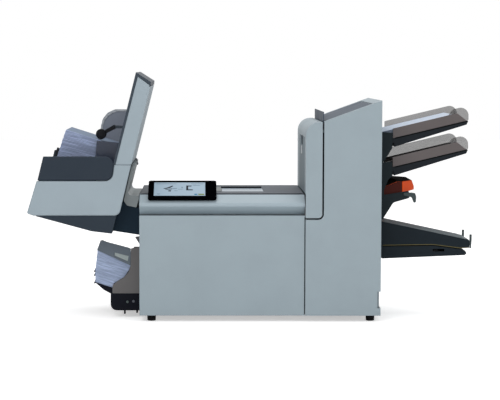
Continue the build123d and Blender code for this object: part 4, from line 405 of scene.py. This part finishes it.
FINISHES = {
    casing_light: ["inserter_front_cover", "inserter_end_cover", "rear_cover", "tower_front_cover",
                   "tower_end_cover", "tower_side_door"],
    casing_hopper: ["hopper_cover", "hopper_back_shell"],
    nose_light: ["top_cover_nose"],
    deck_grey: ["deck_panel"],
    window_pale: ["deck_window"],
    console_black: ["console_housing", "console_stand"],
    screen_pale: ["console_screen"],
    inset_grey: ["side_door_inset"],
    latch_pale: ["door_latch"],
    inlet_grey: ["power_inlet"],
    knob_grey: ["chute_knob"],
    lid_grey: ["tower_top_lid"],
    band_dark: ["hopper_band"],
    belly_dark: ["hopper_belly"],
    back_dark: ["hopper_back_plate"],
    bed_dark: ["hopper_bed"],
    bridge_dark: ["hopper_bridge"],
    black_plastic: ["envelope_end_stop"],
    claw_grey: ["insert_claw_lever", "tray_end_stops"],
    column_dark: ["feeder_side_plates"],
    chute_beige: ["chute_plate"],
    hood_grey: ["stacker_hood"],
    stacker_brown: ["stacker_side_plates"],
    stacker_black: ["stacker_base"],
    tray_dark: ["tray_1", "tray_2"],
    lower_dark: ["lower_tray", "drop_tray"],
    lever_black: ["press_lever", "drive_motor"],
    platform_orange: ["insert_platform"],
    tray_guide_smoked: ["tray_1_front_guide", "tray_2_front_guide", "tray_1_rear_guide",
                        "tray_2_rear_guide"],
    rear_guide_grey: ["hopper_rear_guide"],
    smoked_blue: ["hopper_front_guide"],
    steel_plain: ["base_pan", "side_frames", "fold_plates"],
    steel_bright: ["roller_bearings"],
    rubber_black: ["feet"],
    rubber_roller: ["fold_roller_1", "fold_roller_2", "fold_roller_3", "tray_1_feed_roller",
                    "tray_2_feed_roller"],
    button_green: ["start_button"],
    button_pale: ["stop_button"],
    envelope_paper: ["envelope_stack"],
    stacked_paper: ["stacked_envelopes"],
    sheet_paper: ["sheet_stack"],
}
for finish, names in FINISHES.items():
    for name in names:
        for material_slot in nodes[name].material_slots:
            material_slot.material = finish


# ------------------------------------------------------------------ building pieces
BEVEL_SEGMENTS = 2
SIDES = (-1, 1)


def add_piece(name, rider, finish, build, bevel=0.0):
    """A mesh built by build(shape), bevelled, finished and carried by a body."""
    shape = bmesh.new()
    build(shape)
    bmesh.ops.recalc_face_normals(shape, faces=shape.faces)
    mesh = bpy.data.meshes.new(name)
    shape.to_mesh(mesh)
    shape.free()
    mesh.materials.append(finish)
    piece = bpy.data.objects.new(name, mesh)
    bpy.context.scene.collection.objects.link(piece)
    if bevel:
        edges = piece.modifiers.new("rounded_edges", "BEVEL")
        edges.width = bevel * MM
        edges.segments = BEVEL_SEGMENTS
        edges.limit_method = "ANGLE"
    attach(piece, rider)
    return piece


def add_ring(shape, points):
    """The corners of a closed outline; millimetres."""
    return [shape.verts.new(tuple(value * MM for value in point)) for point in points]


def close_rings(shape, near, far):
    """Faces over two matching rings and all round between them."""
    shape.faces.new(near)
    shape.faces.new(list(reversed(far)))
    for index in range(len(near)):
        following = (index + 1) % len(near)
        shape.faces.new([near[index], far[index], far[following], near[following]])


def add_prism(shape, corners, front, back):
    """A prism over corners (x, z), from front to back in y; millimetres."""
    near = add_ring(shape, [(x, front, z) for x, z in corners])
    far = add_ring(shape, [(x, back, z) for x, z in corners])
    close_rings(shape, near, far)


def add_side_prism(shape, corners, side, inner, outer):
    """A prism on one side of the middle plane, between two distances from it."""
    front, back = sorted((side * inner, side * outer))
    add_prism(shape, corners, front, back)


def add_side_prisms(shape, corners, inner, outer):
    """The same prism on both sides of the middle plane."""
    for side in SIDES:
        add_side_prism(shape, corners, side, inner, outer)


def add_plate(shape, plan, low, high):
    """A flat plate: its outline in x and y, thick from low to high."""
    lower = add_ring(shape, [(x, y, low) for x, y in plan])
    upper = add_ring(shape, [(x, y, high) for x, y in plan])
    close_rings(shape, upper, lower)


def add_boxes(shape, boxes):
    """Boxes, each between two corners; millimetres."""
    for low, high in boxes:
        add_prism(shape, [(low[0], low[2]), (high[0], low[2]), (high[0], high[2]),
                          (low[0], high[2])], low[1], high[1])


def add_disc(shape, centre, axis, radius, thick, sides=20):
    """A round disc on a centre, facing along an axis; millimetres."""
    turn = Vector(axis).to_track_quat("Z", "Y").to_matrix().to_4x4()
    place = Matrix.Translation(Vector(centre) * MM) @ turn
    bmesh.ops.create_cone(shape, cap_ends=True, segments=sides, radius1=radius * MM,
                          radius2=radius * MM, depth=thick * MM, matrix=place)


def band_over(line, low, high):
    """Corners of a band over a line of two points, from low to high above it."""
    (left, start), (right, end) = line
    return [(left, start + low), (right, end + low), (right, end + high), (left, start + high)]


def spread_out(half, margin, count):
    """Places evenly spread across the middle plane, inside a margin at each end."""
    return [-half + margin + place * (2 * half - 2 * margin) / (count - 1)
            for place in range(count)]


def between(first, second, share):
    """The point a share of the way from first to second."""
    return tuple(a + (b - a) * share for a, b in zip(first, second))


def along(points, share):
    """The point a share of the way along a line of points."""
    span = share * (len(points) - 1)
    index = min(int(span), len(points) - 2)
    return between(points[index], points[index + 1], span - index)


def moved(point, right):
    """A point moved to the right."""
    return (point[0] + right, point[1])


# ------------------------------------------------------------------ paper
LEAF_SEED = 7
LEAF_SHARE = 0.86
draw = random.Random(LEAF_SEED)


def add_leaves(shape, outline, half_width, leaves, stray):
    """A pile of leaves that lie on one another, each a little out of line."""
    foot, toe, top_right, top_left = outline
    for leaf in range(leaves):
        low, high = leaf / leaves, (leaf + LEAF_SHARE) / leaves
        left = draw.uniform(0, stray)
        right = draw.uniform(0, stray)
        front = draw.uniform(0, stray)
        back = draw.uniform(0, stray)
        corners = [moved(between(foot, top_left, low), left),
                   moved(between(toe, top_right, low), -right),
                   moved(between(toe, top_right, high), -right),
                   moved(between(foot, top_left, high), left)]
        add_prism(shape, corners, -half_width + front, half_width - back)


HOPPER_LEAN = math.tan(math.radians(14))
BED_LEFT, BED_HIGH = -628.0, 473.0


def over_bed(x, rise):
    """The point at x, a rise above the hopper's sloping bed."""
    return (x, BED_HIGH - (x - BED_LEFT) * HOPPER_LEAN + rise)


PILE_OUTLINE = [over_bed(-607.0, 0.6), over_bed(-447.0, 0.6), over_bed(-409.5, 110.0),
                over_bed(-569.5, 120.0)]
ENVELOPE_HALF = 114.0
PILE_LEAVES = 30
PILE_STRAY = 1.6

envelope_pile = add_piece(
    "envelope_pile_leaves", "machine", envelope_paper,
    lambda shape: add_leaves(shape, PILE_OUTLINE, ENVELOPE_HALF, PILE_LEAVES, PILE_STRAY),
    bevel=0.7)
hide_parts("envelope_stack")

SHEET_SLOPE = math.tan(math.radians(13.4))
TRAY_ROOT_X, TRAY_ROOT_Z = 429.0, 551.0
TRAY_END = 661.0
TRAY_PITCH = 88.0


def tray_height(x, drop=0.0):
    """Upper face of a sheet tray at x."""
    return TRAY_ROOT_Z - drop + (x - TRAY_ROOT_X) * SHEET_SLOPE


def band_over_tray(span, rise, drop=0.0):
    """Corners of a band along a tray's slope, with its rise over the upper face."""
    return band_over([(x, tray_height(x, drop)) for x in span], *rise)


SHEET_SPAN = (388.5, 619.0)
SHEET_RISE = (1.7, 28.0)
SHEET_HALF = 107.5
SHEET_LEAVES = 9
SHEET_STRAY = 1.4
sheet_pile = add_piece(
    "sheet_pile_leaves", "machine", sheet_paper,
    lambda shape: add_leaves(shape, band_over_tray(SHEET_SPAN, SHEET_RISE), SHEET_HALF,
                             SHEET_LEAVES, SHEET_STRAY), bevel=0.5)
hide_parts("sheet_stack")

# filled envelopes lie on one another on the stacker's sloping shelf
STACK_LEFT = [(-481.6, 108.6), (-481.8, 135.0), (-480.6, 158.0), (-474.6, 208.0)]
STACK_RIGHT = [(-428.1, 91.0), (-424.8, 104.2), (-392.4, 124.4), (-378.6, 144.2), (-372.6, 160.0)]
STACK_LEAVES = 24
STACK_SHARE = 0.93
STACK_INSET, STACK_STRAY = 1.0, 1.2


def add_stacked_leaves(shape):
    """Leaves from the shelf up to the hood; their right ends follow the curved pile."""
    for leaf in range(STACK_LEAVES):
        low, high = leaf / STACK_LEAVES, (leaf + STACK_SHARE) / STACK_LEAVES
        inset = draw.uniform(0, STACK_INSET)
        front = draw.uniform(0, STACK_STRAY)
        back = draw.uniform(0, STACK_STRAY)
        corners = [moved(along(STACK_LEFT, low), inset), along(STACK_RIGHT, low),
                   along(STACK_RIGHT, high), moved(along(STACK_LEFT, high), inset)]
        add_prism(shape, corners, -ENVELOPE_HALF + front, ENVELOPE_HALF - back)


stacked_pile = add_piece("stacked_envelope_leaves", "machine", stacked_paper,
                         add_stacked_leaves, bevel=0.3)
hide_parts("stacked_envelopes")

# ------------------------------------------------------------------ sheet feeders
RAIL_SPAN = (TRAY_ROOT_X + 1.5, TRAY_END - 6.0)
RAIL_HEIGHTS = {"front": 30.0, "rear": 16.0}
RAIL_SIDES = {"front": -1, "rear": 1}
RAIL_CLEAR = 0.6
RAIL_CUT = 29.0
GUIDE_OUTSIDE, RAIL_OUTSIDE = 117.05, 118.85
TRAY_RIB_SPAN = (TRAY_ROOT_X + 45.0, TRAY_END - 22.0)
TRAY_RIB_RISE = (0.05, 1.2)
TRAY_RIB_HALF = 1.0
TRAY_RIB_PLACES = (-28.5, -19.0, -9.5, 0.0, 9.5, 19.0, 28.5)
TRAY_LINE_SPAN = (TRAY_ROOT_X + 8.0, TRAY_END - 3.0)
TRAY_LINE_RISE = (-3.0, -0.3)
TRAY_LINE_INSIDE, TRAY_LINE_OUTSIDE = 118.9, 119.5


def add_rail(shape, end, drop):
    """The opaque rail along the outside of a tray guide, its end cut on a slant."""
    high = RAIL_HEIGHTS[end]
    corners = band_over_tray(RAIL_SPAN, (RAIL_CLEAR, high), drop)
    cut = RAIL_SPAN[1] - RAIL_CUT * high / RAIL_HEIGHTS["front"]
    corners[2] = (cut, tray_height(cut, drop) + high)
    add_side_prism(shape, corners, RAIL_SIDES[end], GUIDE_OUTSIDE, RAIL_OUTSIDE)


def add_tray_ribs(shape, drop):
    """Low ribs that run along a tray's upper face between the guides."""
    corners = band_over_tray(TRAY_RIB_SPAN, TRAY_RIB_RISE, drop)
    for y in TRAY_RIB_PLACES:
        add_prism(shape, corners, y - TRAY_RIB_HALF, y + TRAY_RIB_HALF)


def add_tray_line(shape, drop):
    """The black edge strip along the top of a tray's two sides."""
    add_side_prisms(shape, band_over_tray(TRAY_LINE_SPAN, TRAY_LINE_RISE, drop),
                    TRAY_LINE_INSIDE, TRAY_LINE_OUTSIDE)


for number, drop in ((1, 0.0), (2, TRAY_PITCH)):
    for end in RAIL_HEIGHTS:
        add_piece(f"tray_{number}_{end}_rail", f"tray_{number}_{end}_guide",
                  rail_brown, lambda shape: add_rail(shape, end, drop), bevel=0.5)
    add_piece(f"tray_{number}_ribs", "machine", tray_dark,
              lambda shape: add_tray_ribs(shape, drop), bevel=0.4)
    add_piece(f"tray_{number}_edge_line", "machine", edge_black,
              lambda shape: add_tray_line(shape, drop))

# ------------------------------------------------------------------ insert platform
PLATFORM_SLOPE = [(397.0, 400.2), (443.0, 418.2)]
PLATFORM_HALF = 118.0
PLATFORM_FLAT = [(442.0, PLATFORM_HALF), (460.5, PLATFORM_HALF), (494.0, 73.5)]
FLAT_LEVEL = (418.6, 420.9)
MAT_RISE = (0.0, 0.9)
MAT_RIBS = 13
MAT_MARGIN = 12.0
MAT_RIB_RISE = (0.8, 2.4)
MAT_RIB_HALF = 2.2
CHEEK = [(396.5, 375.0), (460.5, 384.8), (460.5, 419.0), (446.0, 418.4), (397.0, 399.4)]
CHEEK_INSIDE, CHEEK_OUTSIDE = 117.8, 118.5
PIN_X, PIN_Z = 397.5, 387.0
PIN_CAP_MIDDLE, PIN_CAP_RADIUS, PIN_CAP_THICK = 125.7, 4.4, 1.2


def add_platform_mat(shape):
    """A ribbed mat on the platform's slope and a plain one on the flat top past it."""
    add_prism(shape, band_over(PLATFORM_SLOPE, *MAT_RISE), -PLATFORM_HALF, PLATFORM_HALF)
    for y in spread_out(PLATFORM_HALF, MAT_MARGIN, MAT_RIBS):
        add_prism(shape, band_over(PLATFORM_SLOPE, *MAT_RIB_RISE), y - MAT_RIB_HALF,
                  y + MAT_RIB_HALF)
    plan = [(x, -y) for x, y in PLATFORM_FLAT] + PLATFORM_FLAT[::-1]
    add_plate(shape, plan, *FLAT_LEVEL)


def add_platform_shaded_cheeks(shape):
    """Thin darker cheeks on the platform's two sides: painted shade on the orange platform's side
    faces.
    """
    add_side_prisms(shape, CHEEK, CHEEK_INSIDE, CHEEK_OUTSIDE)


def add_pin_caps(shape):
    """Dark caps over the ends of the platform's pin."""
    for side in SIDES:
        add_disc(shape, (PIN_X, side * PIN_CAP_MIDDLE, PIN_Z), (0, side, 0), PIN_CAP_RADIUS,
                 PIN_CAP_THICK)


for name, finish, build in (("platform_mat", mat_brown, add_platform_mat),
                            ("platform_shaded_cheeks", platform_orange_shaded, add_platform_shaded_cheeks)):
    add_piece(name, "insert_platform", finish, build, bevel=0.3)
add_piece("platform_pin_caps", "insert_platform", black_plastic, add_pin_caps,
          bevel=0.2)

# ------------------------------------------------------------------ lower tray
LOWER_TOP = [(408.5, 291.4), (673.0, 235.3)]
LOWER_HALF = 78.0
SKIN_RISE = (0.05, 0.7)
SKIN_HALF = 76.0
LOWER_RIDGE = [(412.5, 290.9), (661.0, 238.2), (661.0, 239.5), (412.5, 292.6)]
LOWER_RIBS = 15
LOWER_MARGIN = 8.0
LOWER_RIB_HALF = 1.6
SEAM_LINE = [(388.5, 217.6), (562.8, 220.3), (645.0, 209.4), (672.0, 210.9)]
SEAM_RISE = (0.0, 1.8)
SEAM_INSIDE, SEAM_OUTSIDE = 77.5, 78.25


def add_lower_ribs(shape):
    """A lighter ribbed skin on the lower tray's slope."""
    add_prism(shape, band_over(LOWER_TOP, *SKIN_RISE), -SKIN_HALF, SKIN_HALF)
    for y in spread_out(LOWER_HALF, LOWER_MARGIN, LOWER_RIBS):
        add_prism(shape, LOWER_RIDGE, y - LOWER_RIB_HALF, y + LOWER_RIB_HALF)


def add_seam_line(shape):
    """The strip that closes the edge between the lower tray and the drop tray."""
    for line in zip(SEAM_LINE, SEAM_LINE[1:]):
        add_side_prisms(shape, band_over(line, *SEAM_RISE), SEAM_INSIDE, SEAM_OUTSIDE)


add_piece("lower_tray_ribs", "machine", lower_rib, add_lower_ribs, bevel=0.3)
add_piece("lower_tray_seam", "machine", seam_olive, add_seam_line)

# ------------------------------------------------------------------ touch screen
CONSOLE_TILT = math.radians(24.5)
CONSOLE_ORIGIN = Vector((-316.0, -206.0, 376.5))
SCREEN_RIGHT = Vector((1, 0, 0))
SCREEN_UP = Vector((0, math.cos(CONSOLE_TILT), math.sin(CONSOLE_TILT)))
SCREEN_OUT = Vector((0, -math.sin(CONSOLE_TILT), math.cos(CONSOLE_TILT)))
SCREEN_INSET = (17.0, 12.0)
MARK_LEVELS = (0.02, 0.06)


def screen_point(right, up, level):
    """A point over the screen, from its lower left corner; metres."""
    return (CONSOLE_ORIGIN + SCREEN_RIGHT * (SCREEN_INSET[0] + right)
            + SCREEN_UP * (SCREEN_INSET[1] + up) + SCREEN_OUT * level) * MM


def add_marks(shape, marks):
    """Flat marks on the screen; their corners are millimetres from its lower left corner."""
    for mark in marks:
        lower, upper = ([shape.verts.new(screen_point(right, up, level)) for right, up in mark]
                        for level in MARK_LEVELS)
        close_rings(shape, upper, lower)


def bar(right, up, wide, high):
    """Corners of a bar on the screen."""
    return [(right, up), (right + wide, up), (right + wide, up + high), (right, up + high)]


# a plain sketch of a folded sheet with arrows, and an envelope seen from its side
SKETCH_MARKS = [
    [(28, 46), (40, 51), (56, 64), (58, 60), (50, 50), (34, 43)],
    [(34, 38), (54, 40), (56, 45), (36, 42)], bar(44, 27, 8, 7),
    bar(98, 36, 6, 26), bar(98, 58, 16, 6), bar(98, 34, 20, 6)]
# lines of small print, a status bar and a faint path between the two sketches
LINE_MARKS = [bar(6, 74, 62, 2.4), bar(112, 74, 38, 2.4), bar(56, 44, 14, 3), bar(74, 40, 14, 2),
              bar(84, 48, 3, 8), bar(120, 64, 20, 2), bar(10, 9, 9, 3), bar(62, 30, 10, 2)]

for name, finish, marks in (("screen_sketch", ink_dark, SKETCH_MARKS),
                            ("screen_lines", ink_soft, LINE_MARKS),
                            ("screen_key_blue", ink_blue, [bar(123, 5, 9, 7)]),
                            ("screen_key_olive", ink_olive, [bar(135, 5, 18, 7)])):
    add_piece(name, "touch_console", finish, lambda shape: add_marks(shape, marks))

# ------------------------------------------------------------------ deck and gaps
# a dark strip along the deck's front edge, painted shadow of the gap there
DECK_SHADOW_STRIP = [((-337.0, -163.7, 385.02), (155.0, -159.7, 385.6))]
# black linings in the reveals round the side door and beside the tower, painted shade in these
# gaps
GAP_SHADOW_LININGS = [((210.8, -210.8, 318.0), (213.4, -209.6, 572.0)),
               ((162.5, -210.8, 311.0), (199.0, -209.6, 313.8)),
               ((156.0, -210.3, 22.0), (158.1, -209.9, 319.0))]
# a low dark ridge behind the window, painted shadow of the gap there, and a grey plate beside it
# under the console's edge
WINDOW_SHADOW_RIDGE = [((-92.0, 87.0, 385.05), (36.5, 93.0, 388.6))]
WINDOW_PLATE = [((-118.0, -64.0, 385.05), (-92.5, 104.0, 386.1))]

for name, rider, slot, finish, boxes, bevel in (
        ("deck_front_shadow_strip", "top_cover", "deck_grey", console_black, DECK_SHADOW_STRIP, 0.0),
        ("gap_shadow_linings", "machine", "casing_light", console_black, GAP_SHADOW_LININGS, 0.0),
        ("window_shadow_ridge", "top_cover", "deck_grey", console_black, WINDOW_SHADOW_RIDGE, 0.6),
        ("window_side_plate", "top_cover", "deck_grey", deck_block, WINDOW_PLATE, 0.3)):
    add_piece(name, rider, finish, lambda shape: add_boxes(shape, boxes), bevel=bevel)

# ------------------------------------------------------------------ hopper, stacker and bridge
PANE = [(-420.2, 200.6), (-378.2, 189.9), (-381.3, 173.4), (-421.7, 191.3)]
PANE_DEPTH = (-120.8, -119.6)
add_piece("stacker_pane", "machine", pane_pale,
          lambda shape: add_prism(shape, PANE, *PANE_DEPTH), bevel=0.2)
BRACKET = [(-357.5, 252.0), (-343.5, 254.0), (-343.5, 229.0)]
BRACKET_DEPTH = (-149.0, -146.5)
add_piece("bridge_bracket", "machine", knob_grey,
          lambda shape: add_prism(shape, BRACKET, *BRACKET_DEPTH), bevel=0.3)

# a skirt inside the band that laps down behind the hopper's cover
BAND_SKIRT = [((-646.0, -194.0, 422.0), (-643.5, 194.0, 433.0)),
              ((-646.0, -196.6, 422.0), (-480.0, -194.6, 433.0)),
              ((-646.0, 194.6, 422.0), (-480.0, 196.6, 433.0))]
add_piece("band_skirt", "machine", band_dark,
          lambda shape: add_boxes(shape, BAND_SKIRT))

WEIGHT_X, WEIGHT_Y = -462.8, -84.0
WEIGHT_RADIUS, WEIGHT_HALF = 16.0, 12.0
# how far out of the weight's face each cap stands in the middle, its radius and its thickness
LEVER_CAPS = ((0.5, 11.0, 1.0), (1.2, 8.0, 1.2))


def add_lever_caps(shape):
    """Stepped caps on both faces of the press lever's weight, placed from the lever's own box."""
    lever_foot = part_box("press_lever")[0][2] / MM
    for side in SIDES:
        for out, radius, thick in LEVER_CAPS:
            y = WEIGHT_Y + side * (WEIGHT_HALF + out)
            add_disc(shape, (WEIGHT_X, y, lever_foot + WEIGHT_RADIUS), (0, side, 0), radius, thick)


add_piece("press_lever_caps", "press_lever", lever_black, add_lever_caps, bevel=0.5)

REAR_RIM = [(-478.0, 445.0), (-477.6, 560.0), (-475.0, 584.0), (-468.0, 602.0), (-456.0, 617.0),
            (-442.0, 626.5), (-425.0, 633.0), (-386.0, 633.6)]
RIM_WIDE = 6.0
RIM_DEPTH = (116.2, 117.45)


def add_rear_rim(shape):
    """A pale rim along the rear guide's free edge, on its inner face."""
    for start, end in zip(REAR_RIM, REAR_RIM[1:]):
        first, second = Vector(start), Vector(end)
        way = (second - first).normalized()
        inward = Vector((way.y, -way.x)) * RIM_WIDE
        add_prism(shape, [tuple(first), tuple(second), tuple(second + inward),
                          tuple(first + inward)], *RIM_DEPTH)


add_piece("rear_guide_rim", "hopper_rear_guide", rim_pale, add_rear_rim)

# ------------------------------------------------------------------ screws
SCREW_RADIUS, SCREW_THICK, SCREW_SIDES = 3.2, 1.2, 16
CROSS_RISE, CROSS_LONG, CROSS_WIDE = 0.65, 2.0, 0.4
BASE_BACK, TOWER_BACK, TOWER_END = 210.2, 213.4, 387.2
REAR_SCREWS = (
    [(x, BASE_BACK, z) for x in (-330.0, -90.0, 146.0) for z in (34.0, 200.0, 352.0)]
    + [(172.0, TOWER_BACK, 34.0), (374.0, TOWER_BACK, 34.0), (374.0, TOWER_BACK, 340.0),
       (374.0, TOWER_BACK, 640.0), (172.0, TOWER_BACK, 340.0)])
END_SCREWS = [(TOWER_END, y, z) for y in (-195.0, 195.0) for z in (120.0, 330.0, 630.0)]


def add_screws(shape, places, axis):
    """Screw heads with a cross recess, sunk a little into their cover."""
    out = Vector(axis)
    side = out.orthogonal().normalized()
    other = out.cross(side)
    for place in places:
        add_disc(shape, place, axis, SCREW_RADIUS, SCREW_THICK, SCREW_SIDES)
        middle = Vector(place) + out * CROSS_RISE
        for lengthways, across in ((side, other), (other, side)):
            arm, edge = lengthways * CROSS_LONG, across * CROSS_WIDE
            shape.faces.new([shape.verts.new((middle + corner) * MM)
                             for corner in (arm + edge, arm - edge, -arm - edge, -arm + edge)])


add_piece("rear_screws", "machine", screw_dark,
          lambda shape: add_screws(shape, REAR_SCREWS, (0, 1, 0)))
add_piece("end_screws", "machine", screw_dark,
          lambda shape: add_screws(shape, END_SCREWS, (1, 0, 0)))

# ------------------------------------------------------------------ studio
FLOOR_HALF = 12.0
FLOOR_DROP = 0.0005
FLOOR_COLOUR = (0.93, 0.93, 0.93, 1)
FLOOR_ROUGHNESS = 0.9
FLOOR_GLOW = 0.48
WHITE = (1, 1, 1, 1)
WORLD_LEVEL = 0.55
# each lamp's place, the point that it faces, its size and its power
LAMPS = {"key_lamp": ((-1.8, -3.4, 3.2), (0, 0, 0.35), 2.4, 66),
         "fill_lamp": ((2.6, -3.0, 1.6), (0, 0, 0.3), 2.4, 30),
         "low_lamp": ((-0.2, -4.2, 0.25), (0, 0, 0.3), 2.0, 22),
         "top_lamp": ((0.2, 0.6, 3.4), (0, 0, 0.3), 3.0, 45)}

floor_mesh = bpy.data.meshes.new("studio_floor")
floor_mesh.from_pydata(
    [(-FLOOR_HALF, -FLOOR_HALF, 0), (FLOOR_HALF, -FLOOR_HALF, 0), (FLOOR_HALF, FLOOR_HALF, 0),
     (-FLOOR_HALF, FLOOR_HALF, 0)], [], [(0, 1, 2, 3)])
floor = bpy.data.objects.new("studio_floor", floor_mesh)
floor.location.z = -FLOOR_DROP
bpy.context.scene.collection.objects.link(floor)
floor_paint, floor_tree, floor_shader = new_material("floor_paint")
floor_shader.inputs["Base Color"].default_value = FLOOR_COLOUR
floor_shader.inputs["Roughness"].default_value = FLOOR_ROUGHNESS
floor_shader.inputs["Emission Color"].default_value = WHITE
floor_path = floor_tree.nodes.new("ShaderNodeLightPath")
glow = math_node(floor_tree, "MULTIPLY", floor_path.outputs["Is Camera Ray"], FLOOR_GLOW)
floor_tree.links.new(glow, floor_shader.inputs["Emission Strength"])
floor_mesh.materials.append(floor_paint)

world = bpy.data.worlds.new("studio_world")
bpy.context.scene.world = world
world.use_nodes = True
world_tree = world.node_tree
background = world_tree.nodes["Background"]
background.inputs["Color"].default_value = WHITE
path = world_tree.nodes.new("ShaderNodeLightPath")
seen = math_node(world_tree, "MAXIMUM", path.outputs["Is Camera Ray"],
                 math_node(world_tree, "MAXIMUM", path.outputs["Is Glossy Ray"],
                           path.outputs["Is Transmission Ray"]))
strength = math_node(world_tree, "ADD", WORLD_LEVEL,
                     math_node(world_tree, "MULTIPLY", seen, 1 - WORLD_LEVEL))
world_tree.links.new(strength, background.inputs["Strength"])

for name, (place, aim, size, power) in LAMPS.items():
    data = bpy.data.lights.new(name, "AREA")
    data.size = size
    data.energy = power
    lamp = bpy.data.objects.new(name, data)
    lamp.location = place
    lamp.rotation_mode = "QUATERNION"
    lamp.rotation_quaternion = (Vector(aim) - Vector(place)).to_track_quat("-Z", "Y")
    bpy.context.scene.collection.objects.link(lamp)

bpy.context.scene.view_settings.view_transform = "Standard"
